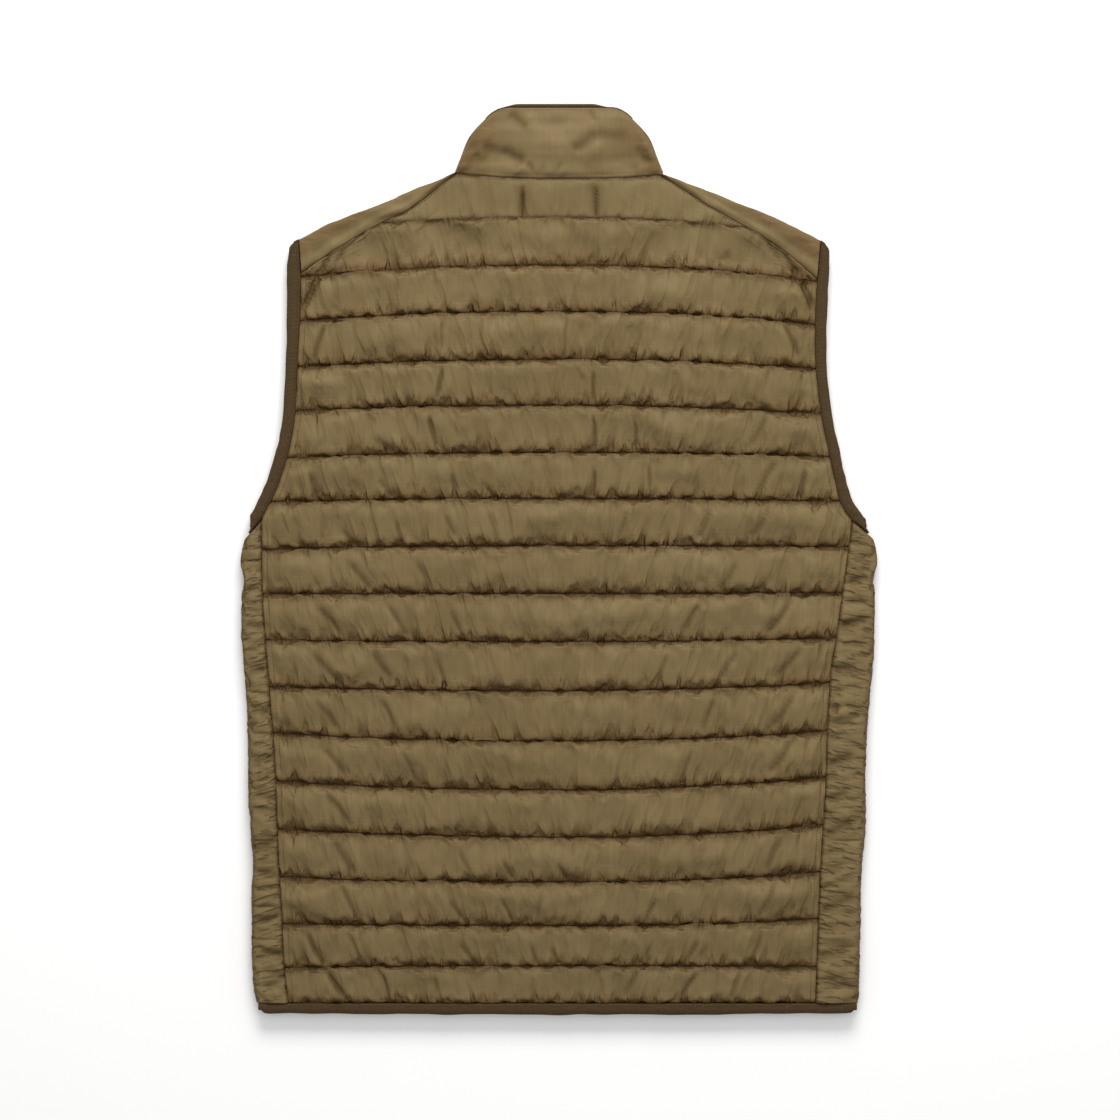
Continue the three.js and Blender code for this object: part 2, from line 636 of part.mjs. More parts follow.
// A flat strip that runs down the centre front
function strip(fromX, toX, lowZ, highZ, lowY, highY) {
  const geometry = new THREE.BoxGeometry(toX - fromX, highY - lowY, highZ - lowZ);
  return geometry.translate((fromX + toX) / 2, (lowY + highY) / 2, (lowZ + highZ) / 2);
}

function extrudeAcross(shape, width) {
  const geometry = new THREE.ExtrudeGeometry(shape, { depth: width, bevelEnabled: false, curveSegments: 8 });
  geometry.translate(0, 0, -width / 2);
  // The profile's x becomes y, its y becomes z, and the depth runs along x
  const turn = new THREE.Matrix4().set(0, 0, 1, 0, 1, 0, 0, 0, 0, 1, 0, 0, 0, 0, 0, 1);
  return geometry.applyMatrix4(turn);
}

function toManifold(geometry) {
  const bare = geometry.index ? geometry.toNonIndexed() : geometry.clone();
  bare.deleteAttribute('normal');
  bare.deleteAttribute('uv');
  const merged = mergeVertices(bare, 1e-4);
  const mesh = new wasm.Mesh({
    numProp: 3,
    vertProperties: new Float32Array(merged.attributes.position.array),
    triVerts: new Uint32Array(merged.index.array),
  });
  return new wasm.Manifold(mesh);
}

function fromManifold(body) {
  const mesh = body.getMesh();
  return solid(Array.from(mesh.vertProperties), Array.from(mesh.triVerts));
}

// Zip slider: two plates joined by a post above the chain, and a bridge below for the pull
function sliderPlate(lowZ) {
  const { half, nose, length, plate } = SLIDER;
  const outline = new THREE.Shape();
  outline.moveTo(-nose, 0);
  outline.lineTo(-half, length * 0.6);
  outline.quadraticCurveTo(-half, length, 0, length);
  outline.quadraticCurveTo(half, length, half, length * 0.6);
  outline.lineTo(nose, 0);
  outline.closePath();
  const geometry = new THREE.ExtrudeGeometry(outline, { depth: plate, bevelEnabled: false, curveSegments: 5 });
  return geometry.translate(0, ZIP_TOP_Y - length + 3, lowZ);
}

function bridge() {
  const { width, strap, reach, drop, room: roomDrop } = BRIDGE;
  const shoulderZ = PULL.z - 0.6;
  const arch = (path, half, lowest, topZ) => {
    path.moveTo(-half, topZ);
    path.lineTo(-half, shoulderZ);
    path.quadraticCurveTo(-half, lowest, 0, lowest);
    path.quadraticCurveTo(half, lowest, half, shoulderZ);
    path.lineTo(half, topZ);
    path.closePath();
    return path;
  };
  const shape = arch(new THREE.Shape(), reach, PULL.z - drop, SLIDER.low + 0.2);
  const room = arch(new THREE.Path(), reach - strap, PULL.z - roomDrop, SLIDER.low - 0.1);
  shape.holes.push(room);
  return extrudeAcross(shape, width).translate(0, PULL_Y, 0);
}

const PULL_Y = ZIP_TOP_Y - 3.5;

function zipSlider() {
  const { low, high, plate, post } = SLIDER;
  const postTop = ZIP_TOP_Y + 3;
  const column = strip(-post, post, low + plate / 2, high - plate / 2, postTop - 2.6, postTop - 0.6);
  let body = toManifold(sliderPlate(low));
  for (const more of [sliderPlate(high - plate), column, bridge()]) body = body.add(toManifold(more));
  return fromManifold(body);
}

// Pull tab: a rounded plate whose slot leaves a bar for the slider's bridge to hold
function zipPull() {
  const { half, length, thick, slot, slotHalf, bar } = PULL;
  const plate = new THREE.Shape();
  plate.moveTo(-half, bar / 2);
  plate.lineTo(-half, -length + half);
  plate.absarc(0, -length + half, half, Math.PI, 2 * Math.PI, false);
  plate.lineTo(half, bar / 2);
  plate.closePath();
  const opening = new THREE.Path();
  opening.moveTo(-slotHalf, -bar / 2);
  opening.lineTo(slotHalf, -bar / 2);
  opening.lineTo(slotHalf, -bar / 2 - slot);
  opening.lineTo(-slotHalf, -bar / 2 - slot);
  opening.closePath();
  plate.holes.push(opening);
  const geometry = new THREE.ExtrudeGeometry(plate, { depth: thick, bevelEnabled: false, curveSegments: 8 });
  return geometry.translate(0, PULL_Y, PULL.z - thick / 2);
}

const vest = new THREE.Group();

function add(name, geometry, look) {
  const mesh = new THREE.Mesh(geometry, new THREE.MeshStandardMaterial(look));
  mesh.name = name;
  vest.add(mesh);
}

add('back_panel', backPanel(), FABRIC);
for (const side of Object.keys(SIDES)) {
  add(`shoulder_${side}`, shoulderPanel(side), FABRIC);
  add(`side_${side}`, sidePanel(side), FABRIC);
  add(`front_${side}`, frontPanel(side), FABRIC);
  add(`binding_armhole_${side}`, armholeBinding(side), ELASTIC);
  const [from, to] = side === 'left' ? [-TAPE.outer, -TAPE.inner] : [TAPE.inner, TAPE.outer];
  add(`zip_tape_${side}`, strip(from, to, TAPE.low, TAPE.high, ZIP_FOOT_Y, ZIP_TOP_Y), ELASTIC);
}
add('collar', collar(), FABRIC);
add('binding_collar', collarBinding(), ELASTIC);
add('binding_hem', hemBinding(), ELASTIC);
add('zip_chain', strip(-CHAIN.half, CHAIN.half, CHAIN.low, CHAIN.high, ZIP_FOOT_Y, ZIP_TOP_Y - 0.2), MOULDING);
add('zip_box', strip(-ZIP_BOX.half, ZIP_BOX.half, ZIP_BOX.low, ZIP_BOX.high,
  ZIP_FOOT_Y - SEAM_GAP - ZIP_BOX.length, ZIP_FOOT_Y - SEAM_GAP), MOULDING);
add('zip_slider', zipSlider(), METAL);
add('zip_pull', zipPull(), METAL);

export default vest;
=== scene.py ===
# %% [markdown]
# # A light puffer vest, laid flat on its front
#
# This lesson dresses a padded vest in cloth. It lies face down, zipped up, with its quilted back upwards.
# The solid model gives every piece its size and place, and here each piece gets its real surface:
# down-filled channels that pucker at their stitching, gathered sides, ribbed elastic and a zip.
# Lengths are written in millimetres, as a pattern cutter would, and turned into metres in one place.

# %% Load the frame
import bmesh
import bpy
import math
import mathutils
import numpy as np
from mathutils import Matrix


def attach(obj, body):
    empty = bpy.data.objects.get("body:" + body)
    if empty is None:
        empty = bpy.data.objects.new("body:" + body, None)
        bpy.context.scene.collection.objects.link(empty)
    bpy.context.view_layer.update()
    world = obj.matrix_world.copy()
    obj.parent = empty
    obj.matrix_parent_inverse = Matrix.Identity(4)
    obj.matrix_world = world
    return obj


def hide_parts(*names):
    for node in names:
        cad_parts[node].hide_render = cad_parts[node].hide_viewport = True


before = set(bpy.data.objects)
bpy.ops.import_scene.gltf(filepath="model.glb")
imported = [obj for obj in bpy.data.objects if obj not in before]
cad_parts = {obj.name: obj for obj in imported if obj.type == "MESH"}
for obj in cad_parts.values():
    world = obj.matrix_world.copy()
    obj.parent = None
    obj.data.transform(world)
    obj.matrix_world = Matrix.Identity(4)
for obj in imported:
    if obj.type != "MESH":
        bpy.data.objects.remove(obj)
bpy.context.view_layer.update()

MM = 0.001
scene = bpy.context.scene

# %% [markdown]
# ## Camera, light and floor
#
# The vest is shown from straight above. A long lens from high up keeps the sides of the vest parallel.
# The main light is a wide soft one beyond the collar: it lights the crown of each channel and leaves
# the slope towards the hem in shade, which is what makes quilting readable. A weaker one fills the shadows.

# %% Camera
VIEW_WIDTH = 952 * MM
FOCAL = 120.0
SENSOR = 36.0
CAMERA_HEIGHT = VIEW_WIDTH * FOCAL / SENSOR
camera_data = bpy.data.cameras.new("camera")
camera_data.lens = FOCAL
camera_data.sensor_width = SENSOR
camera_data.clip_end = 20
camera = bpy.data.objects.new("camera", camera_data)
camera.location = (0.85 * MM, -0.4 * MM, CAMERA_HEIGHT + 12 * MM)
scene.collection.objects.link(camera)
scene.camera = camera
print("camera", round(camera.location.z, 2), "m above the floor")

# %% Lights and floor
def area_light(name, place, size, power, colour):
    data = bpy.data.lights.new(name, "AREA")
    data.shape = "RECTANGLE"
    data.size, data.size_y = size
    data.energy = power
    data.color = colour
    lamp = bpy.data.objects.new(name, data)
    lamp.location = place
    aim = mathutils.Vector((0, 0, 0)) - mathutils.Vector(place)
    lamp.rotation_euler = aim.to_track_quat("-Z", "Y").to_euler()
    scene.collection.objects.link(lamp)


area_light("key", (0.15, 2.1, 1.45), (1.8, 0.9), 63, (1.0, 0.985, 0.96))
area_light("fill", (0.1, 0.1, 2.6), (2.6, 2.6), 19, (0.99, 0.99, 1.0))

world = bpy.data.worlds.new("studio")
world.use_nodes = True
world.node_tree.nodes["Background"].inputs["Color"].default_value = (1, 1, 1, 1)
world.node_tree.nodes["Background"].inputs["Strength"].default_value = 0.48
scene.world = world
scene.view_settings.view_transform = "Standard"

FLOOR_HALF = 3.0
floor_mesh = bpy.data.meshes.new("floor")
corners = [(-FLOOR_HALF, -FLOOR_HALF, 0), (FLOOR_HALF, -FLOOR_HALF, 0),
           (FLOOR_HALF, FLOOR_HALF, 0), (-FLOOR_HALF, FLOOR_HALF, 0)]
floor_mesh.from_pydata(corners, [], [(0, 1, 2, 3)])
floor = bpy.data.objects.new("floor", floor_mesh)
floor.location.z = -0.2 * MM
scene.collection.objects.link(floor)

floor_paint = bpy.data.materials.new("pale floor")
floor_paint.use_nodes = True
floor_shader = floor_paint.node_tree.nodes["Principled BSDF"]
floor_shader.inputs["Base Color"].default_value = (0.98, 0.98, 0.98, 1)
floor_shader.inputs["Roughness"].default_value = 0.8
floor_mesh.materials.append(floor_paint)

# %% [markdown]
# ## The pattern
#
# A maker draws the cut first. These tables are the seams, measured on the flat vest in millimetres
# from the middle of its outline: x to the right, y towards the collar. Every piece below is laid
# between them, so neighbours meet along one line.

# %% Seams and edges
HEM_SEAM_Y = -377.0
HEM_Y = -387.2
UNDERARM_Y = 33.0
FRONT_TOP = 8.0
BACK_UNDER = 8.3
FOLD_Z = 8.15

SHOULDER_SEAM = {
    "left": [(-86.9, 328.8), (-125.8, 298.8), (-151.3, 286.0), (-192.1, 262.2), (-219.4, 243.0)],
    "right": [(86.3, 327.2), (125.8, 301.3), (162.4, 280.9), (191.3, 262.2), (219.6, 238.4)],
}
ARM_INNER = {
    "left": [(-221.5, 271.5), (-219.6, 246.0), (-219.6, 218.0), (-221.9, 173.0), (-224.4, 122.0), (-230.0,
             91.0),
             (-238.9, 62.5), (-246.5, 46.5), (-252.0, 36.0), (-258.5, 28.0), (-262.5, 23.0)],
    "right": [(222.8, 270.5), (220.2, 243.0), (217.9, 212.0), (217.9, 170.0), (222.5, 125.0), (228.5, 95.0),
              (233.8, 70.0), (239.0, 49.0), (247.0, 35.5), (256.5, 27.8), (262.0, 23.0)],
}
ARM_OUTER = {
    "left": [(-229.3, 267.5), (-231.2, 248.0), (-231.2, 219.0), (-232.2, 173.0), (-234.8, 123.5), (-239.8,
             95.5),
             (-248.0, 68.5), (-256.0, 50.0), (-261.6, 39.5), (-265.6, 31.0), (-267.2, 25.0)],
    "right": [(230.0, 265.5), (229.8, 244.0), (228.2, 214.0), (227.6, 170.0), (231.8, 126.0), (237.8, 97.0),
              (243.2, 71.5), (248.8, 52.0), (257.4, 38.5), (264.3, 30.5), (267.2, 25.0)],
}
SIDE_SEAM = {
    "left": [(-252.6, 33.0), (-252.5, -0.4), (-250.8, -48.0), (-245.7, -114.3), (-241.4, -169.6), (-239.4,
             -226.0),
             (-237.8, -262.0), (-235.5, -298.8), (-233.5, -344.7), (-229.8, -377.0)],
    "right": [(249.2, 33.0), (244.6, -0.4), (240.6, -30.2), (235.5, -67.6), (231.0, -95.0), (227.8, -146.6),
              (226.6, -190.0), (222.7, -254.6), (220.3, -306.4), (217.9, -377.0)],
}
SIDE_FOLD = {
    "left": [(-266.8, 19.0), (-270.3, -0.4), (-268.8, -17.0), (-270.2, -34.0), (-270.0, -68.0), (-266.6,
             -119.0),
             (-264.8, -187.0), (-263.4, -222.0), (-261.2, -255.0), (-261.6, -289.0), (-260.3, -357.0),
             (-257.0, -377.0)],
    "right": [(267.0, 19.0), (270.3, -0.4), (268.0, -17.0), (268.8, -34.0), (267.6, -80.0), (264.6, -119.0),
              (261.8, -165.0), (261.0, -220.0), (258.6, -255.0), (256.8, -292.0), (256.2, -350.0),
              (254.6, -377.0)],
}
SHOULDER_FOLD = {
    "left": [(-89.4, 328.4), (-125.8, 314.0), (-151.3, 303.2), (-192.1, 287.3), (-220.4, 273.0)],
    "right": [(89.0, 327.2), (125.8, 313.2), (160.0, 300.2), (191.3, 287.3), (221.6, 272.2)],
}
SHOULDER_FRONT = {
    "left": [(-80.0, 303.6), (-118.0, 278.0), (-148.0, 257.0), (-190.0, 224.0), (-219.2, 197.0)],
    "right": [(80.0, 303.6), (118.0, 278.0), (152.0, 254.0), (190.0, 222.0), (217.4, 197.0)],
}
SIGN = {"left": -1, "right": 1}


def through(points, count=240):
    """A smooth line through the points of a seam, as an array of count points."""
    p = np.asarray(points, float)
    ends = np.vstack([2 * p[0] - p[1], p, 2 * p[-1] - p[-2]])
    steps = np.linspace(0, len(p) - 1, count)
    k = np.minimum(steps.astype(int), len(p) - 2)
    t = (steps - k)[:, None]
    a, b, c, d = ends[k], ends[k + 1], ends[k + 2], ends[k + 3]
    return 0.5 * (2 * b + (c - a) * t + (2 * a - 5 * b + 4 * c - d) * t**2 + (3 * b - a - 3 * c + d) * t**3)


def x_of(points, y):
    """x on a seam that falls from the collar to the hem, at the heights y."""
    line = through(points)[::-1]
    return np.interp(y, line[:, 1], line[:, 0])


def back_edge(side, y):
    """The back panel's edge: shoulder seam, armhole, then side seam."""
    corner = SHOULDER_SEAM[side][-1][1]
    shoulder = x_of(SHOULDER_SEAM[side], y)
    armhole = x_of(ARM_INNER[side], y)
    flank = x_of(SIDE_SEAM[side], y)
    return np.where(y > corner, shoulder, np.where(y > UNDERARM_Y, armhole, flank))


print("chest, pit to pit:", 2 * 267, "mm")

# %% [markdown]
# ## Helpers for soft meshes
#
# Every cloth piece here is a grid of points, bent into shape and then closed on its hidden side.
# Noise that comes from fixed tables gives the same creases each time the script runs.

# %% Noise and smoothing on a grid
def value_noise(x, y, scale_x, scale_y, seed):
    """Smooth noise from -1 to 1 with lumps of the given size."""
    u, v = np.asarray(x) / scale_x + 1000, np.asarray(y) / scale_y + 1000
    iu, iv = np.floor(u).astype(int), np.floor(v).astype(int)
    fu, fv = u - iu, v - iv

    def corner(a, b):
        h = (a * 374761393 + b * 668265263 + seed * 2147483647) & 0xFFFFFFFF
        h = ((h ^ (h >> 13)) * 1274126177) & 0xFFFFFFFF
        return ((h ^ (h >> 16)) & 0xFFFF) / 32767.5 - 1

    su, sv = fu * fu * (3 - 2 * fu), fv * fv * (3 - 2 * fv)
    low = corner(iu, iv) * (1 - su) + corner(iu + 1, iv) * su
    high = corner(iu, iv + 1) * (1 - su) + corner(iu + 1, iv + 1) * su
    return low * (1 - sv) + high * sv


def blurred(values, width, axis):
    """Values smoothed along one axis of a grid by a bell of the given width in cells."""
    reach = int(3 * width)
    bell = np.exp(-0.5 * (np.arange(-reach, reach + 1) / width) ** 2)
    bell /= bell.sum()
    padded = np.pad(values, [(reach, reach) if a == axis else (0, 0) for a in range(values.ndim)],
        mode="edge")
    return np.apply_along_axis(lambda row: np.convolve(row, bell, mode="valid"), axis, padded)


def step_up(x, low, high):
    """0 below low, 1 above high, with soft shoulders between."""
    t = np.clip((x - low) / (high - low), 0, 1)
    return t * t * (3 - 2 * t)


# %% Turning grids into meshes
def new_object(name, points, faces):
    mesh = bpy.data.meshes.new(name)
    mesh.from_pydata((np.asarray(points) * MM).tolist(), [], faces)
    mesh.update()
    for polygon in mesh.polygons:
        polygon.use_smooth = True
    piece = bpy.data.objects.new(name, mesh)
    scene.collection.objects.link(piece)
    return piece


def grid_faces(rows, columns, start=0, around=False):
    """Four-sided faces over a grid of points. around joins the last row to the first."""
    index = start + np.arange(rows * columns).reshape(rows, columns)
    if around:
        index = np.vstack([index, index[:1]])
    quads = np.stack([index[:-1, :-1], index[:-1, 1:], index[1:, 1:], index[1:, :-1]], -1)
    return quads.reshape(-1, 4).tolist()


def rim(rows, columns):
    """The border of a grid, in order."""
    index = np.arange(rows * columns).reshape(rows, columns)
    return np.concatenate([index[0, :-1], index[:-1, -1], index[-1, :0:-1], index[:0:-1, 0]])


def closed_on_flat(name, grid, flat_z):
    """A grid closed by walls down (or up) to a plain flat inside at one height."""
    rows, columns = grid.shape[:2]
    top = grid.reshape(-1, 3)
    border = rim(rows, columns)
    under = top[border].copy()
    under[:, 2] = flat_z
    faces = grid_faces(rows, columns)
    count, first = len(border), len(top)
    for k in range(count):
        after = (k + 1) % count
        faces.append((int(border[after]), int(border[k]), first + k, first + after))
    faces.append(tuple(range(first + count - 1, first - 1, -1)))
    return facing_out(new_object(name, np.vstack([top, under]), faces))


def closed_wall(name, outer, inner, around=False):
    """A wall between an outer and an inner grid with as many rows, closed along its edges."""
    rows, wide = outer.shape[:2]
    narrow = inner.shape[1]
    first = rows * wide
    faces = grid_faces(rows, wide, around=around) + grid_faces(rows, narrow, start=first, around=around)
    for row in range(rows if around else rows - 1):
        after = (row + 1) % rows
        for column, inside in ((0, 0), (wide - 1, narrow - 1)):
            a, b = row * wide + column, after * wide + column
            c, d = first + after * narrow + inside, first + row * narrow + inside
            faces.append((a, b, c, d))
    if not around:
        for row in (0, rows - 1):
            out = [row * wide + k for k in range(wide)]
            back_again = [first + row * narrow + k for k in range(narrow)][::-1]
            faces.append(tuple(out + back_again))
    points = np.vstack([outer.reshape(-1, 3), inner.reshape(-1, 3)])
    return facing_out(new_object(name, points, faces))


def facing_out(piece):
    """Turns the faces of a closed piece outwards."""
    shape = bmesh.new()
    shape.from_mesh(piece.data)
    bmesh.ops.recalc_face_normals(shape, faces=shape.faces)
    if shape.calc_volume(signed=True) < 0:
        bmesh.ops.reverse_faces(shape, faces=shape.faces)
    shape.to_mesh(piece.data)
    shape.free()
    return piece

# %% [markdown]
# ## The quilted back
#
# A real back panel is two layers of thin nylon with down between them, sewn through along 17 lines.
# The outer layer is cut larger than the lining, so it stands up as rolls and has too much length
# along each seam: that spare length is what gathers into puckers.
# The rolls could be drawn by a formula, but a formula has no folds that lean or die out. So the panel
# starts as plain rolls, is pinned along the stitching, and then a cloth simulation lets it grow by a few
# percent and lifts it, much as down pushes it. The result is kept as an ordinary mesh.

# %% The stitch lines of the back
STITCH_TOP = 11.2
ROLL_HEIGHT = 8.2
ROLL_LEAN = 0.74
LINE_BEND = 2.2
PUFF_EDGE = 26.0
BACK_LINES = np.array([
    (328.8, 323.9, 327.2, 0.42), (285.6, 290.3, 281.4, 0.90), (240.1, 249.5, 235.9, 0.95),
    (202.7, 210.4, 199.3, 1.0), (163.6, 169.6, 161.9, 1.0), (126.2, 130.5, 123.7, 1.0), (86.3, 90.5, 87.1,
    1.0),
    (48.9, 51.4, 49.7, 1.0), (8.1, 11.5, 10.6, 1.0), (-29.3, -29.3, -28.5, 1.0), (-68.4, -70.1, -66.7, 1.0),
    (-108.4, -111.8, -105.0, 1.0), (-147.5, -154.3, -145.8, 1.0), (-188.3, -195.9, -184.9, 1.0),
    (-229.1, -235.9, -225.7, 1.0), (-269.9, -274.1, -265.6, 1.0), (-309.8, -311.5, -305.6, 0.95),
    (-347.2, -345.5, -346.4, 0.75), (HEM_SEAM_Y, HEM_SEAM_Y, HEM_SEAM_Y, 0.0),
])
ROWS_A_CHANNEL = 16
BACK_COLUMNS = 152


def line_heights(line, across):
    """y along a stitch line: it rises or falls from the middle towards each side."""
    left, middle, right = line[0], line[1], line[2]
    end = np.where(across < 0, left, right)
    return middle + (end - middle) * np.abs(across) ** LINE_BEND


def channel_steps(count):
    """Places across a channel, closer together beside its stitching, where the puckers are."""
    even = np.arange(count) / count
    return even - 0.12 * np.sin(2 * np.pi * even) / 1.4


def quilt_grid(lines, columns, rows, edges, inset=0.15):
    """Flat x, y of a quilted panel with its place in each channel, and how far its rolls have risen."""
    steps = channel_steps(rows)
    blend, at = [], []
    for k in range(len(lines) - 1):
        blend += [lines[k] * (1 - s) + lines[k + 1] * s for s in steps]
        at += [s for s in steps]
    blend.append(lines[-1])
    at.append(0.0)
    blend, at = np.array(blend), np.array(at)
    puff = np.repeat(lines[:-1, 3], rows)
    puff = np.append(puff, lines[-1, 3])
    left = edges[0](blend[:, 0]) + inset
    right = edges[1](blend[:, 2]) - inset
    share = np.linspace(0, 1, columns)
    across = 2 * share - 1
    x = left[:, None] + (right - left)[:, None] * share
    y = np.array([line_heights(row, across) for row in blend])
    from_edge = np.clip(np.minimum(x - left[:, None], right[:, None] - x) / PUFF_EDGE, 0, 1)
    swell = 0.25 + 0.75 * np.sin(from_edge * np.pi / 2)
    roll = np.sin(np.pi * at ** ROLL_LEAN) ** 0.66 * puff
    return x, y, at, roll[:, None] * swell


edges_of_back = (lambda y: back_edge("left", y), lambda y: back_edge("right", y))
back_x, back_y, back_at, back_rise = quilt_grid(BACK_LINES, BACK_COLUMNS, ROWS_A_CHANNEL, edges_of_back)
print("back panel", back_x.shape, "points before the cloth is grown")

# %% [markdown]
# ### Growing the cloth
#
# One simulation helper serves every padded piece. Pinned points hold still and the rest of the cloth
# is a little too big for its place. Negative shrinking makes it grow, and a light pull upwards keeps its
# folds on the outside. A few frames are enough, because the cloth only has to find its folds.

# %% Cloth simulation
def grown(grid, pinned, growth, stiffness=80.0, bending=0.005, frames=13, quality=3, lift=0.01):
    """The grid after its cloth has grown: an array of the same shape."""
    rows, columns = grid.shape[:2]
    sheet = new_object("cloth in the making", grid.reshape(-1, 3), grid_faces(rows, columns))
    held = sheet.vertex_groups.new(name="held")
    held.add([int(i) for i in np.flatnonzero(pinned.reshape(-1))], 1.0, "REPLACE")
    cloth = sheet.modifiers.new("cloth", "CLOTH")
    settings = cloth.settings
    settings.quality = quality
    settings.mass = 0.001
    settings.tension_stiffness = stiffness
    settings.compression_stiffness = stiffness
    settings.shear_stiffness = 5
    settings.bending_stiffness = bending
    settings.tension_damping = 1.0
    settings.compression_damping = 1.0
    settings.shear_damping = 1.0
    settings.bending_damping = 0.1
    settings.vertex_group_mass = "held"
    settings.pin_stiffness = 1
    settings.shrink_min = -growth
    settings.shrink_max = -growth
    settings.effector_weights.gravity = -lift
    cloth.collision_settings.use_collision = False
    cloth.point_cache.frame_start = 1
    cloth.point_cache.frame_end = frames
    for frame_number in range(1, frames + 1):
        scene.frame_set(frame_number)
    settled = sheet.evaluated_get(bpy.context.evaluated_depsgraph_get())
    spots = np.empty(rows * columns * 3)
    settled.data.vertices.foreach_get("co", spots)
    bpy.data.objects.remove(sheet, do_unlink=True)
    scene.frame_set(1)
    return spots.reshape(rows, columns, 3) / MM


def twice_as_fine(grid):
    """The grid with a new column between each two, on a smooth curve through its neighbours."""
    wide = np.concatenate([2 * grid[:, :1] - grid[:, 1:2], grid, 2 * grid[:, -1:] - grid[:, -2:-1]], axis=1)
    middle = (9 * (wide[:, 1:-2] + wide[:, 2:-1]) - wide[:, :-3] - wide[:, 3:]) / 16
    fine = np.empty((grid.shape[0], 2 * grid.shape[1] - 1) + grid.shape[2:])
    fine[:, ::2] = grid
    fine[:, 1::2] = middle
    return fine


# %% Simulate the back
unevenness = 0.3 * value_noise(back_x, back_y, 9, 30, 3) * np.sin(np.pi * back_at)[:, None]
back_z = STITCH_TOP + ROLL_HEIGHT * back_rise + unevenness
plain_rolls = np.stack([back_x, back_y, back_z], axis=-1)
back_pins = np.zeros(back_x.shape, bool)
back_pins[back_at == 0] = True
back_pins[:, [0, -1]] = True
puffed = grown(plain_rolls, back_pins, growth=0.035)
print("rolls stand", round(float(puffed[..., 2].max()), 1), "mm high, grooves",
    round(float(puffed[..., 2].min()), 1))

# %% [markdown]
# ### Creases on the back
#
# The simulation finds puckers of its own. The long creases belong to this one vest: they run from an
# armhole or a side seam into the back, where the cloth was pushed together as it was laid down.
# So they are drawn one by one, each a narrow trough with a low ridge beside it, no two alike.
# Each line gives both ends, the depth and the width.

# %% The creases of this vest
BACK_CREASES = [
    (-99, 203, -100, 179, 0.9, 1.4), (6, 202, 6, 175, 1.0, 1.3), (60, 180, 69, 167, 0.9, 1.5),
    (-65, 204, -66, 184, 0.6, 1.6), (-99, 162, -104, 137, 1.6, 1.5), (-133, 144, -127, 132, 0.9, 1.3),
    (14, 165, 20, 153, 0.8, 1.3), (29, 158, 29, 136, 1.5, 1.4), (79, 144, 76, 132, 0.8, 1.3),
    (-110, 122, -103, 96, 1.6, 1.5), (-163, 124, -156, 117, 0.8, 1.3), (-155, 104, -139, 91, 1.2, 1.5),
    (29, 122, 29, 94, 1.5, 1.3), (64, 119, 64, 96, 1.4, 1.3), (-66, 106, -71, 96, 0.9, 1.4),
    (-176, 69, -166, 54, 1.0, 1.4), (-153, 67, -141, 52, 1.3, 1.5), (-91, 72, -86, 54, 1.1, 1.5),
    (-65, 66, -56, 56, 0.9, 1.3), (30, 76, 27, 52, 1.2, 1.4), (76, 79, 77, 57, 1.1, 1.5),
    (-138, 32, -132, 14, 1.2, 1.4), (-96, 37, -88, 21, 1.1, 1.4), (-183, 26, -171, 11, 1.1, 1.5),
]
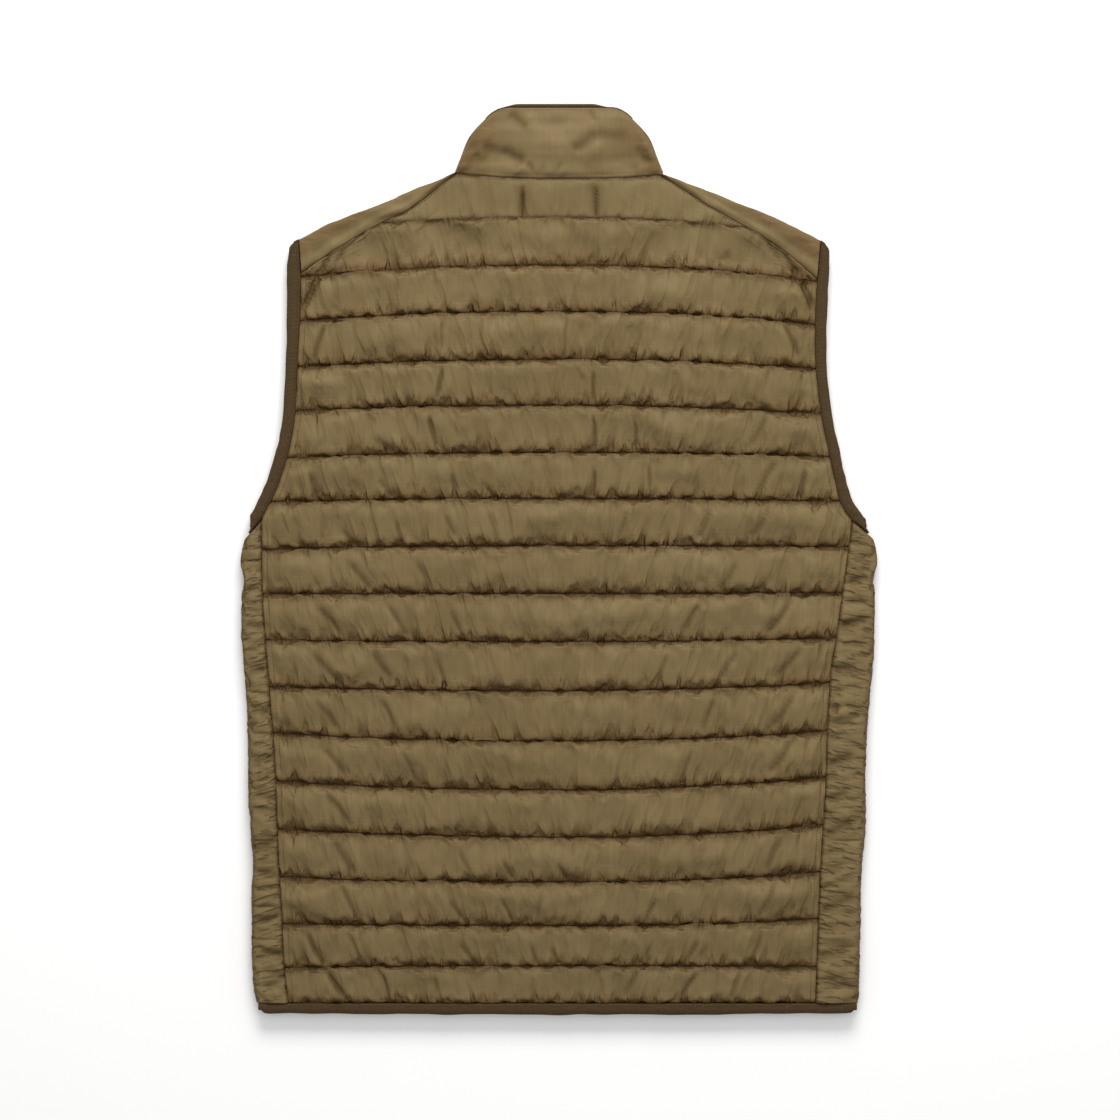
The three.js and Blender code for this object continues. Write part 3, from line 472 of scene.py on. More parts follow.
FURTHER_CREASES = [
    (-194, 260, -203, 243, 2.2, 1.6), (-202, 246, -218, 213, 3.2, 1.9), (-180, 268, -192, 250, 1.2, 1.6),
    (-199, 199, -208, 170, 1.4, 1.8), (-170, 250, -184, 236, 0.9, 1.5), (191, 264, 201, 245, 2.2, 1.6),
    (200, 247, 215, 214, 3.2, 1.9), (178, 270, 190, 251, 1.0, 1.6), (190, 200, 203, 172, 1.3, 1.7),
    (-212, 74, -206, 52, 1.3, 1.6), (-205, 60, -196, 48, 1.2, 1.5), (210, 76, 205, 50, 1.3, 1.6),
    (-213, -318, -199, -344, 1.6, 1.7), (-196, -352, -180, -374, 2.2, 1.6), (-178, -318, -168, -343, 1.2,
    1.6), (-178, -2, -160, -25, 1.2, 1.6), (-120, -3, -109, -24, 1.1, 1.5),
    (-205, -40, -184, -64, 1.4, 1.6), (-146, -38, -131, -62, 1.2, 1.5), (-92, -44, -82, -66, 1.0, 1.4),
    (150, -4, 138, -24, 1.1, 1.6), (196, -36, 176, -62, 1.3, 1.6), (118, -38, 108, -61, 1.0, 1.5),
    (-208, -80, -186, -104, 1.3, 1.6), (-158, -78, -140, -102, 1.2, 1.6), (-104, -84, -96, -106, 0.9, 1.4),
    (204, -76, 182, -100, 1.4, 1.6), (150, -80, 136, -103, 1.1, 1.5), (92, -82, 84, -106, 0.9, 1.5),
    (-206, -120, -188, -144, 1.2, 1.6), (-150, -120, -138, -146, 1.1, 1.5), (198, -116, 180, -142, 1.3, 1.6),
    (132, -118, 122, -146, 1.0, 1.5), (-200, -160, -180, -184, 1.2, 1.6), (-132, -164, -122, -188, 1.0, 1.4),
    (196, -156, 178, -180, 1.2, 1.6), (112, -162, 104, -188, 1.0, 1.4), (-196, -200, -176, -226, 1.3, 1.6),
    (-84, -248, -74, -266, 1.0, 1.4), (-47, -256, -39, -270, 1.3, 1.2), (-1, -258, 10, -273, 1.4, 1.3),
    (-92, -290, -79, -308, 1.3, 1.3), (-48, -289, -39, -308, 1.2, 1.2), (-14, -286, -18, -306, 0.8, 1.4),
    (-84, -326, -70, -345, 1.3, 1.4), (-24, -328, -20, -344, 1.1, 1.1), (-6, -330, 3, -346, 1.2, 1.2),
    (83, -287, 74, -308, 1.2, 1.2), (118, -324, 104, -346, 1.3, 1.2), (76, -330, 68, -345, 1.0, 1.3),
    (117, -352, 102, -374, 1.3, 1.2), (66, -350, 54, -372, 1.0, 1.3), (190, -236, 176, -264, 1.2, 1.6),
    (182, -276, 168, -304, 1.1, 1.5), (-190, -238, -172, -266, 1.2, 1.6), (-184, -278, -170, -306, 1.1, 1.5),
    (-170, -316, -160, -342, 1.0, 1.5), (172, -316, 162, -342, 1.0, 1.5), (154, -350, 146, -373, 1.0, 1.3),
    (-150, -352, -144, -373, 1.0, 1.3), (-106, -352, -104, -368, 0.8, 1.1), (34, -352, 36, -370, 0.7, 1.1),
    (-60, 42, -52, 16, 0.9, 1.5), (58, 40, 50, 17, 0.9, 1.5), (128, 42, 118, 18, 1.0, 1.6),
    (178, 44, 164, 20, 1.2, 1.6), (184, 82, 170, 58, 1.1, 1.6), (176, 122, 162, 96, 1.0, 1.6),
]


def creased(x, y, creases, ridge=0.4):
    """How much the creases raise or lower a surface at x, y."""
    change = np.zeros_like(x)
    for x0, y0, x1, y1, depth, width in creases:
        length = math.hypot(x1 - x0, y1 - y0)
        ux, uy = (x1 - x0) / length, (y1 - y0) / length
        along = ((x - x0) * ux + (y - y0) * uy) / length
        bow = 0.05 * length * np.sin(np.pi * np.clip(along, 0, 1)) * math.sin(x0 * 1.7 + y0)
        beside = (x - x0) * -uy + (y - y0) * ux - bow
        fade = np.clip(along + 0.12, 0, 1) * np.clip(1.12 - along, 0, 1) * 4
        fade = np.clip(fade, 0, 1) ** 1.2
        wide = width * (1.0 + 1.1 * abs(ux))
        trough = np.exp(-(beside / wide) ** 2)
        turn = 1 if math.sin(x0 + y0 * 0.3) > 0 else -1
        low_ridge = np.exp(-((beside - turn * 2.2 * wide) / (1.4 * wide)) ** 2)
        change += depth * fade * (ridge * low_ridge - trough)
    return change

# %% [markdown]
# ### Finishing the back
#
# The simulated grid is made twice as fine across, so that the short puckers beside the stitching
# can be five to eight millimetres apart. They are added where cloth is caught by thread and
# fade out up the roll. The yoke has less down and hardly any spare cloth, so it keeps more of its plain shape.
# Two short upright tacks below the neck hold the layers together there.

# %% Puckers, tacks and creases
TACKS = [-31.0, 31.5]
TACK_LOW, TACK_HIGH = 292.0, 314.0


def puckers(x, at, lines_above, seed, size=5.2):
    """Short upright ridges beside the stitching, in millimetres, each line and side with its own."""
    change = np.zeros_like(x)
    for row in range(x.shape[0]):
        a = at[row]
        for side, distance in ((0, a), (1, 1 - a)):
            line = lines_above[row] + side
            drift = 0.55 * value_noise(x[row], distance * 38, 21, 16, seed + 7 * line) * distance * 38
            wave = value_noise(x[row] + drift, 0, size, 1, seed + 31 * line + side)
            size_here = 0.55 + 0.45 * value_noise(x[row], 0, 34, 1, seed + 13 * line + side)
            change[row] += wave * size_here * math.exp(-distance * 38 / 6.5) * min(1, distance * 38 / 3.5)
    return change


def tack_dip(x, y):
    """The two tacks pull the yoke down in short upright hollows."""
    along = np.clip((y - TACK_LOW + 5) / 7, 0, 1) * np.clip((TACK_HIGH + 5 - y) / 7, 0, 1)
    dip = np.zeros_like(x)
    for place in TACKS:
        dip += 2.2 * np.exp(-((x - place) / 6.5) ** 2) + 2.4 * np.exp(-((x - place) / 2.5) ** 2)
    return along * dip


def calmer_crowns(grid, start, rise, share, width=3.0):
    """The grid with the ripples on top of its rolls partly smoothed away, as full down does."""
    smooth = start + blurred(grid - start, width, axis=1)
    crown = share * step_up(rise, 0.45, 0.95)[:, None, None]
    return grid * (1 - crown) + smooth * crown


ease = np.sin(np.pi * back_at)
puffed = calmer_crowns(puffed, plain_rolls, ease, 0.6)
fine = twice_as_fine(puffed)
plain = twice_as_fine(plain_rolls)
in_yoke = np.arange(fine.shape[0]) < ROWS_A_CHANNEL
fine[in_yoke] = 0.45 * fine[in_yoke] + 0.55 * plain[in_yoke]
fx, fy = fine[..., 0], fine[..., 1]
line_above = np.arange(fine.shape[0]) // ROWS_A_CHANNEL
ease = ease[:, None]
calm = np.where(in_yoke, 0.35, 1.0)[:, None]
fine[..., 2] += 1.3 * calm * puckers(fx, back_at, line_above, 11, size=4.4)
fine[..., 2] += 0.45 * ease * value_noise(fx, fy, 16, 13, 5) + 0.25 * ease * value_noise(fx, fy, 7, 6, 6)
folds = np.clip(ease * 3, 0, 1) * creased(fx, fy, BACK_CREASES + FURTHER_CREASES)
fine[..., 2] += 1.25 * folds
fine[..., 2] -= tack_dip(fx, fy)
fine[..., 2] = np.maximum(fine[..., 2], 9.2)
back = closed_on_flat("quilted_back", fine, BACK_UNDER)

# %% Painted shade: how deep each point lies in a groove, and how far it turns away
def mark(piece, name, values):
    """Keeps one number for each point of a piece, for its dye to read."""
    layer = piece.data.attributes.new(name, "FLOAT", "POINT")
    layer.data.foreach_set("value", np.asarray(values, np.float32))


def stitch_groove_shade(at, columns, pitch=38.0, reach=2.3):
    """Painted shade in the stitched grooves: 1 on a stitch line and 0 on the open roll."""
    distance = np.minimum(at, 1 - at) * pitch
    return np.repeat(np.exp(-(distance / reach) ** 2)[:, None], columns, axis=1)


def roll_flank_shade(at, x, calm, lower=8.0, upper=4.0, pitch=38.0):
    """Painted shade where a roll curves away to its stitching: a wide band at its foot, which faces away from the
    key light, and a narrow one at its head.
    """
    foot, head = ((1 - at) * pitch)[:, None], (at * pitch)[:, None]
    uneven = 1 + 0.3 * value_noise(x, foot, 8, 9, 17)
    return calm * (0.95 * np.exp(-(foot / (lower * uneven)) ** 2) + 0.5 * np.exp(-(head / (upper * uneven)) ** 2))


def keep_painted_shade(piece, grooves, flank_shade=None, calm=None):
    """Keeps painted shade on the piece: the grooves, and browning where each point turns away or lies in a roll's
    foot band. calm takes crinkles and some of the browning out.
    """
    count = len(piece.data.vertices)
    deep = np.zeros(count)
    deep[:grooves.size] = grooves.reshape(-1)
    normals = np.zeros(count * 3)
    piece.data.vertex_normals.foreach_get("vector", normals)
    # Painted shade: browner where the surface tilts away from facing straight up at the camera, and in the band
    # along each roll's foot.
    turned_shade = 0.9 * np.clip((0.9 - np.abs(normals[2::3])) / 0.5, 0, 1)
    if flank_shade is not None:
        turned_shade[:flank_shade.size] = np.maximum(turned_shade[:flank_shade.size] * 0.7, flank_shade.reshape(-1))
    if calm is not None:
        turned_shade[:calm.size] -= calm.reshape(-1)
    mark(piece, "groove_shade", deep)
    mark(piece, "turned_shade", turned_shade)


def crease_shade(change, full=1.8, most=0.7):
    """How far a crease is shut, from how deep it goes: the painted shade in that crease."""
    return np.clip(-change / full, 0, most)


# Painted shade on the back: darker on the stitch lines, in the creases and in the tack hollows.
tack_shade = np.clip(tack_dip(fx, fy) / 4.2, 0, 1) ** 3 * 0.9
dark = np.maximum(np.maximum(stitch_groove_shade(back_at, fine.shape[1]), crease_shade(folds)), tack_shade)
keep_painted_shade(back, dark, roll_flank_shade(back_at, fx, calm), 0.17 * in_yoke[:, None] * np.ones(fx.shape))
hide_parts("back_panel")
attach(back, "vest")
print("back panel:", len(back.data.polygons), "faces")

# %% [markdown]
# ## Nylon
#
# Down vests use a very thin, tightly woven nylon. This one is olive, and its colour carries painted shade:
# browner where the cloth turns away from the camera and in a band along the foot of each roll, away from
# the key light, and darker in the stitched grooves, creases and crinkle valleys. Each piece keeps two numbers at
# every point for this, how deep it lies in a groove and how far it turns away. The faint streaks, the
# weave and the short creases that fan out from the stitching are noise in the material, because they
# are finer than the mesh. Gathered pieces have more of these creases and smooth pieces hardly any.

# %% The shell cloth
def link(tree, a, b):
    tree.links.new(a, b)


def new_material(name, roughness):
    material = bpy.data.materials.new(name)
    material.use_nodes = True
    tree = material.node_tree
    shader = tree.nodes["Principled BSDF"]
    shader.inputs["Roughness"].default_value = roughness
    return material, tree, shader


def stretched_noise(tree, scale, squash, detail=2.0, turn=0.0):
    """Noise in object space, rotated about Z and then drawn out along one or two axes."""
    place = tree.nodes.new("ShaderNodeTexCoord")
    turning = tree.nodes.new("ShaderNodeMapping")
    turning.inputs["Rotation"].default_value = (0, 0, math.radians(turn))
    mapping = tree.nodes.new("ShaderNodeMapping")
    mapping.inputs["Scale"].default_value = squash
    noise = tree.nodes.new("ShaderNodeTexNoise")
    noise.inputs["Scale"].default_value = scale
    noise.inputs["Detail"].default_value = detail
    link(tree, place.outputs["Object"], turning.inputs["Vector"])
    link(tree, turning.outputs["Vector"], mapping.inputs["Vector"])
    link(tree, mapping.outputs["Vector"], noise.inputs["Vector"])
    return noise.outputs["Fac"]


def colour_ramp(tree, factor, stops):
    ramp = tree.nodes.new("ShaderNodeValToRGB")
    band = ramp.color_ramp
    while len(band.elements) < len(stops):
        band.elements.new(0.5)
    for element, (position, colour) in zip(band.elements, stops):
        element.position = position
        element.color = (*colour, 1)
    link(tree, factor, ramp.inputs["Fac"])
    return ramp.outputs["Color"]


def mixed(tree, kind, factor, a, b):
    mix = tree.nodes.new("ShaderNodeMix")
    mix.data_type = "RGBA"
    mix.blend_type = kind
    for value, socket in ((factor, mix.inputs["Factor"]), (a, mix.inputs["A"]), (b, mix.inputs["B"])):
        if isinstance(value, (int, float, tuple)):
            socket.default_value = value
        else:
            link(tree, value, socket)
    return mix.outputs["Result"]


def bump(tree, shader, heights):
    """Fine relief: each pair gives noise and its height in metres."""
    normal = None
    for height, distance in heights:
        node = tree.nodes.new("ShaderNodeBump")
        node.inputs["Strength"].default_value = 1.0
        node.inputs["Distance"].default_value = distance
        link(tree, height, node.inputs["Height"])
        if normal is not None:
            link(tree, normal, node.inputs["Normal"])
        normal = node.outputs["Normal"]
    link(tree, normal, shader.inputs["Normal"])


def one_number(tree, operation, a, b):
    """A sum or product of two numbers in a material, kept between 0 and 1."""
    node = tree.nodes.new("ShaderNodeMath")
    node.operation = operation
    node.use_clamp = True
    for value, socket in ((a, node.inputs[0]), (b, node.inputs[1])):
        if isinstance(value, (int, float)):
            socket.default_value = value
        else:
            link(tree, value, socket)
    return node.outputs[0]


def kept_number(tree, name):
    node = tree.nodes.new("ShaderNodeAttribute")
    node.attribute_name = name
    return node.outputs["Fac"]


def crinkles(tree, size, run, lean, share=0.47):
    """Short soft valleys, 0 in a valley and 1 beside it. They lean outwards on both halves of the vest."""
    halves = []
    for turn in (-lean, lean):
        wander = stretched_noise(tree, size, run, 1.0, turn)
        halves.append(colour_ramp(tree, wander, [(share - 0.17, (0, 0, 0)), (share, (1, 1, 1))]))
    place = tree.nodes.new("ShaderNodeTexCoord")
    split = tree.nodes.new("ShaderNodeSeparateXYZ")
    link(tree, place.outputs["Object"], split.inputs[0])
    half = tree.nodes.new("ShaderNodeMapRange")
    half.inputs["From Min"].default_value = -0.05
    half.inputs["From Max"].default_value = 0.05
    link(tree, split.outputs["X"], half.inputs["Value"])
    return mixed(tree, "MIX", half.outputs["Result"], *halves)


def shell_cloth(name, size, run, lean, everywhere, depth, share=0.47):
    """Olive nylon whose colour carries painted shade: browner where it turns away, darker in grooves and crinkle
    valleys. everywhere is how much of its crinkles open cloth shows, depth is theirs in metres.
    """
    material, tree, shader = new_material(name, 0.58)
    streaks = stretched_noise(tree, 420, (1, 0.045, 1), 3.0)
    patches = stretched_noise(tree, 14, (1, 1, 1), 2.0)
    body = colour_ramp(tree, patches, [(0.3, (0.166, 0.116, 0.048)), (0.7, (0.190, 0.136, 0.058))])
    grain = colour_ramp(tree, streaks, [(0.3, (0.78, 0.76, 0.72)), (0.75, (1, 1, 1))])
    body = mixed(tree, "MULTIPLY", 0.5, body, grain)
    turned_shade, groove_shade = kept_number(tree, "turned_shade"), kept_number(tree, "groove_shade")
    # Painted shade: brown where the cloth turns away and along the foot of each roll.
    body = mixed(tree, "MIX", turned_shade, body, (0.116, 0.065, 0.020, 1))
    crinkled = crinkles(tree, size, run, lean, share)
    loose = one_number(tree, "ADD", turned_shade, everywhere)
    shut = one_number(tree, "MULTIPLY", one_number(tree, "SUBTRACT", 1.0, crinkled), loose)
    # Painted shade: darker in the crinkle valleys.
    body = mixed(tree, "MIX", one_number(tree, "MULTIPLY", shut, 0.7), body, (0.074, 0.041, 0.012, 1))
    # Painted shade: darkest in the stitched grooves, the creases and the tack hollows.
    body = mixed(tree, "MIX", groove_shade, body, (0.062, 0.032, 0.008, 1))
    link(tree, body, shader.inputs["Base Color"])
    shader.inputs["Specular IOR Level"].default_value = 0.18
    short = one_number(tree, "MULTIPLY", crinkles(tree, size * 1.7, run, -0.6 * lean), turned_shade)
    weave = stretched_noise(tree, 1500, (1, 1, 1), 2.0)
    valleys = one_number(tree, "MULTIPLY", crinkled, loose)
    bump(tree, shader, [(valleys, depth), (short, 0.7 * depth), (streaks, 0.00012), (weave, 0.00008)])
    return material


nylon = shell_cloth("olive nylon", 150, (1, 0.17, 1), 15, 0.26, 0.0022, share=0.5)
gathered_nylon = shell_cloth("olive nylon, gathered", 250, (0.22, 1, 1), 14, 0.75, 0.0014)
smooth_nylon = shell_cloth("olive nylon, smooth", 70, (0.35, 1, 1), 10, 0.10, 0.0010)


def dress(piece, material):
    piece.data.materials.clear()
    piece.data.materials.append(material)


dress(back, nylon)

# %% [markdown]
# ## Side panels
#
# Each side is one thinly padded strip, sewn to the back, folded round the flank and lying flat below.
# It is longer than the back's edge, so it is gathered on: fine ripples start square to the seam and
# run out towards the fold. The same cloth simulation makes them, with more spare length than the back.

# %% Folded walls
FOLD_STEPS = np.array([
    (0.00, 12.0), (0.05, 12.9), (0.12, 13.6), (0.22, 14.1), (0.34, 14.35), (0.46, 14.35), (0.58, 14.2),
    (0.68, 13.8), (0.77, 13.3), (0.85, 12.6), (0.91, 11.7), (0.955, 10.5), (0.985, 9.1), (1.0, 7.4),
    (0.99, 5.6), (0.965, 3.9), (0.93, 2.4), (0.88, 1.2), (0.82, 0.4), (0.75, 0.0), (0.5, 0.0), (0.25, 0.0),
    (0.0, 0.0),
])
FOLD_TURN = 13
SLIT_STEPS = np.array([(0.0, BACK_UNDER), (0.5, BACK_UNDER), (0.7, BACK_UNDER), (0.82, FOLD_Z), (0.7,
    FRONT_TOP),
                       (0.5, FRONT_TOP), (0.0, FRONT_TOP)])
SLIT_TURN = 3


def folded_grid(back_seam, fold, front_seam, steps, turn):
    """Sections of a folded wall: from its back seam out to the fold and back to its front seam."""
    columns = []
    for index, (reach, z) in enumerate(steps):
        seam = back_seam if index <= turn else front_seam
        line = seam + (fold - seam) * reach
        columns.append(np.column_stack([line, np.full(len(line), z)]))
    return np.stack(columns, axis=1)


def even_columns(grid, count):
    """The grid with its columns spread evenly along each section, count of them."""
    spread = []
    for row in grid:
        run = np.concatenate([[0], np.cumsum(np.linalg.norm(np.diff(row, axis=0), axis=1))])
        places = np.linspace(0, run[-1], count)
        spread.append(np.column_stack([np.interp(places, run, row[:, k]) for k in range(3)]))
    return np.array(spread)


# %% Gather the sides
SIDE_ROWS = 390
SIDE_COLUMNS = 34
SIDE_CREASES = {
    "right": [(232, -60, 262, -50, 2.0, 2.0), (230, -93, 252, -95, 1.6, 1.7), (226, -132, 238, -124, 1.5,
              1.5),
              (228, -137, 257, -131, 1.9, 1.7), (227, -143, 250, -139, 1.6, 1.7), (225, -156, 238, -148, 1.3,
              1.6),
              (224, -178, 250, -166, 1.6, 1.9), (223, -205, 246, -196, 1.4, 1.8), (222, -236, 250, -222, 1.8,
              2.1),
              (222, -268, 240, -262, 1.2, 1.7), (221, -300, 249, -288, 1.5, 2.0), (246, -20, 262, -14, 1.5,
              1.8),
              (220, -338, 246, -330, 1.3, 1.9), (240, -36, 260, -35, 1.1, 1.6), (226, -355, 250, -362, 1.2,
              1.8)],
    "left": [(-254, -22, -266, -26, 1.4, 1.6), (-250, -60, -266, -56, 1.3, 1.7), (-247, -92, -264, -98, 1.4,
             1.7),
             (-244, -130, -262, -124, 1.3, 1.7), (-241, -166, -260, -172, 1.4, 1.7), (-240, -204, -258, -199,
             1.2, 1.6),
             (-239, -238, -260, -246, 1.5, 1.8), (-237, -270, -256, -266, 1.2, 1.6), (-236, -300, -257, -308,
             1.4, 1.8),
             (-235, -336, -254, -332, 1.2, 1.7), (-232, -356, -250, -364, 1.2, 1.7)],
}


def seam_gathers(along, across, seed, reach=9.0):
    """Short ripples square to a seam. along runs down the seam and across is the distance from it."""
    drift = value_noise(along, across, 17, 9, seed) * across * 0.35
    wave = value_noise(along + drift, 0 * along, 3.1, 1, seed + 1)
    size = 0.6 + 0.4 * value_noise(along, 0 * along, 26, 1, seed + 2)
    return wave * size * np.exp(-across / reach) * np.minimum(1, across / 1.2)


def side_panel(side):
    down = np.linspace(0, 1, SIDE_ROWS)
    seam_y = UNDERARM_Y - 0.6 + (HEM_SEAM_Y - UNDERARM_Y + 0.6) * down
    fold_y = 17.4 + (HEM_SEAM_Y - 17.4) * down
    seam = np.column_stack([x_of(SIDE_SEAM[side], seam_y), seam_y])
    fold = np.column_stack([x_of(SIDE_FOLD[side], fold_y), fold_y])
    section = folded_grid(seam, fold, seam, FOLD_STEPS, FOLD_TURN)
    outer = even_columns(section, SIDE_COLUMNS)
    height = 0.5 * value_noise(outer[..., 0], outer[..., 1], 22, 7, 41) * (outer[..., 2] > 12.5)
    outer[..., 2] += height
    pins = np.zeros(outer.shape[:2], bool)
    pins[:, 0] = True
    pins[[0, -1]] = True
    pins |= outer[..., 2] < 5
    loose = grown(outer, pins, growth=0.045, stiffness=60, bending=0.01, quality=4)
    away = np.abs(loose[..., 0] - seam[:, :1])
    on_top = step_up(loose[..., 2], 8.5, 11.5)
    loose[..., 2] += 2.0 * on_top * seam_gathers(loose[..., 1], away, 50 + SIGN[side])
    folds = on_top * step_up(away, 0, 4) * creased(loose[..., 0], loose[..., 1], SIDE_CREASES[side], 0.5)
    loose[..., 2] += 1.2 * folds
    loose[..., 2] = np.clip(loose[..., 2], 0, 17.5)
    limit = np.abs(fold[:, :1]) + 0.6
    loose[..., 0] = SIGN[side] * np.minimum(np.abs(loose[..., 0]), limit)
    loose[:, [0, -1]] = outer[:, [0, -1]]
    inner = folded_grid(seam, fold, seam, SLIT_STEPS, SLIT_TURN)
    piece = closed_wall("gathered_side_" + side, loose, inner)
    # Painted shade: darker along the side seam and in the creases, browner where the strip turns away.
    keep_painted_shade(piece, np.maximum(np.exp(-(away / 1.5) ** 2) * on_top, crease_shade(folds, 2.4)))
    dress(piece, gathered_nylon)
    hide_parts("side_" + side)
    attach(piece, "vest")
    return piece


for side in SIGN:
    print("side", side, len(side_panel(side).data.polygons), "faces")

# %% [markdown]
# ## Shoulder panels
#
# The smooth shoulder pieces come over from the front and show as a wedge on the back. They carry
# little down and no quilting, so they stay calm: one soft ridge along the seam, where the back
# panel's layers are turned in underneath.

# %% Shoulder wedges
SHOULDER_ROWS = 120
SHOULDER_CREASES = {
    "left": [(-150, 296, -128, 306, 0.5, 3.0), (-196, 276, -170, 284, 0.5, 3.0), (-205, 258, -196, 270, 0.8,
             3.0)],
    "right": [(150, 296, 128, 306, 0.5, 3.0), (192, 276, 168, 287, 0.6, 3.0), (206, 256, 195, 268, 0.8, 3.0)],
}


def shoulder_panel(side):
    seam = through(SHOULDER_SEAM[side], SHOULDER_ROWS)
    seam[:, 0] = x_of(SHOULDER_SEAM[side], seam[:, 1]) + SIGN[side] * 0.12
    fold = through(SHOULDER_FOLD[side], SHOULDER_ROWS)
    front = through(SHOULDER_FRONT[side], SHOULDER_ROWS)
    section = folded_grid(seam, fold, front, FOLD_STEPS, FOLD_TURN)
    outer = even_columns(section, 44)
    outer[..., 2] += 0.3 * value_noise(outer[..., 0], outer[..., 1], 14, 14, 61) * (outer[..., 2] > 12.5)
    pins = np.zeros(outer.shape[:2], bool)
    pins[:, [0, -1]] = True
    pins[[0, -1]] = True
    pins |= outer[..., 2] < 5
    loose = grown(outer, pins, growth=0.016, stiffness=60, bending=0.03, frames=11, quality=3)
    loose = outer + blurred(loose - outer, 2.5, axis=0)
    from_seam = np.linalg.norm(loose[..., :2] - seam[:, None], axis=-1)
    on_top = step_up(loose[..., 2], 8.5, 11.5)
    ridge = np.exp(-((from_seam - 4.5) / 2.6) ** 2)
    loose[..., 2] += on_top * (0.9 * ridge + creased(loose[..., 0], loose[..., 1], SHOULDER_CREASES[side],
        0.6))
    loose[..., 2] = np.clip(loose[..., 2], 0, 17.5)
    loose[:, [0, -1]] = outer[:, [0, -1]]
    inner = folded_grid(seam, fold, front, SLIT_STEPS, SLIT_TURN)
    armhole = SIGN[side] * 0.6
    loose[-1, :, 0] = x_of(ARM_INNER[side], loose[-1, :, 1]) - armhole
    inner[-1, :, 0] = x_of(ARM_INNER[side], inner[-1, :, 1]) - armhole
    piece = closed_wall("smooth_shoulder_" + side, loose, inner)
    # Painted shade: a dark line at the seam and browning towards the wedge's outer edge, where it curves away.
    keep_painted_shade(piece, 0.4 * np.exp(-(from_seam / 1.3) ** 2) * on_top, 0.7 * step_up(from_seam, 7, 22) * on_top)
    dress(piece, smooth_nylon)
    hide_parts("shoulder_" + side)
    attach(piece, "vest")
    return piece


for side in SIGN:
    print("shoulder", side, len(shoulder_panel(side).data.polygons), "faces")

# %% [markdown]
# ## Stand collar
#
# The collar is a band of the same nylon with a little padding, closed to a loop by the zip and pressed
# flat. Nothing is quilted, so its wrinkles are few and broad: the band is wider at the neck seam than
# at its top edge, and the spare cloth shows as soft swells and as puckers where the neck gathers it.

# %% Shape of the collar
COLLAR_EDGE_Y = 384.0
COLLAR_FLAT = 44.0
COLLAR_CROWN = 7.2
COLLAR_FOLD = [(88.6, 329.6), (84.4, 340.0), (77.6, 356.4), (70.6, 366.0), (62.5, 375.0)]
COLLAR_PUFF = [(0, 0), (0.14, 0.72), (0.32, 1), (0.5, 1), (0.68, 0.9), (0.86, 0.6), (1, 0.12)]
COLLAR_TURN = [(0.95, 0.97), (0.965, 0.9), (0.978, 0.78), (0.989, 0.6), (0.997, 0.34)]
NECK_LOW, NECK_RISE, NECK_HALF, NECK_JOIN = 268.0, 60.0, 87.0, 80.0
FACING_WIDTH = 15.6
FRONT_EDGE = 5.2
FRONT_EDGE_TOP = 5.0


def front_neck(x):
    """y of the seam between the fronts and the collar."""
    def round_neck(at):
        return NECK_LOW + NECK_RISE * (1 - np.sqrt(1 - (at / NECK_HALF) ** 2))

    near = round_neck(np.minimum(np.abs(x), NECK_JOIN))
    past = np.clip((np.abs(x) - NECK_JOIN) / (NECK_HALF - NECK_JOIN), 0, 1)
    return near + (NECK_LOW + NECK_RISE - round_neck(NECK_JOIN)) * past


def neck_seam(x):
    return line_heights(BACK_LINES[0], np.clip(x / COLLAR_FOLD[0][0], -1, 1))


def collar_stations():
    """(share of half the width, rise) round the collar: rise is -1 on the surface, 0 at the fold, 1 on top."""
    flat = [(x / COLLAR_FOLD[0][0], -1.0) for x in np.linspace(FRONT_EDGE, NECK_JOIN, 26)]
    turn = [(share, -rise) for share, rise in COLLAR_TURN] + [(1.0, 0.0)] + COLLAR_TURN[::-1]
    right = flat + turn
    back = [(share, 1.0) for share in np.linspace(-0.935, 0.935, 110)]
    return [(-share, rise) for share, rise in right] + back + right[::-1]


def collar_grids(rows_up):
    """Outer and inner points of the collar: a row for each station, a column for each height."""
    heights = np.linspace(0, 1, rows_up)
    fold_x, fold_y = through(COLLAR_FOLD, rows_up).T
    puff = np.interp(heights, *np.array(COLLAR_PUFF).T)
    outer, inner = [], []
    for share, rise in collar_stations():
        seam_x, top_x = share * COLLAR_FOLD[0][0], share * COLLAR_FOLD[-1][0]
        x = share * fold_x
        near_zip = rise == -1 and abs(seam_x) <= FACING_WIDTH
        if near_zip:
            x = np.full(rows_up, seam_x)
        elif rise == -1:
            narrowing = (fold_x - FACING_WIDTH) / (fold_x[0] - FACING_WIDTH)
            x = math.copysign(1, share) * (FACING_WIDTH + (abs(seam_x) - FACING_WIDTH) * narrowing)
        if rise > 0:
            past = max(0.0, (abs(top_x) - COLLAR_FLAT) / (COLLAR_FOLD[-1][0] - COLLAR_FLAT))
            low, high = neck_seam(seam_x), COLLAR_EDGE_Y + (COLLAR_FOLD[-1][1] - COLLAR_EDGE_Y) * past**2
        else:
            low, high = front_neck(seam_x), 330.0 + 45.0 * abs(top_x / COLLAR_FOLD[-1][0]) ** 2
        y = fold_y if rise == 0 else low + 0.3 + (high - low - 0.3) * heights
        soft = max(0.25, math.cos(min(1.0, abs(share)) * math.pi / 2) ** 0.35)
        crown = 11.4 + COLLAR_CROWN * puff * soft
        z = FOLD_Z + ((crown - FOLD_Z) * rise if rise > 0 else FOLD_Z * rise)
        outer.append(np.column_stack([x, y, np.broadcast_to(z, rows_up)]))
        inside = FRONT_EDGE_TOP if near_zip else (BACK_UNDER if rise > 0 else FRONT_TOP)
        if rise == 0:
            inside = FOLD_Z
        inner.append(np.column_stack([np.clip(x, 3 - fold_x, fold_x - 3), y, np.full(rows_up, inside)]))
    return np.array(outer), np.array(inner)


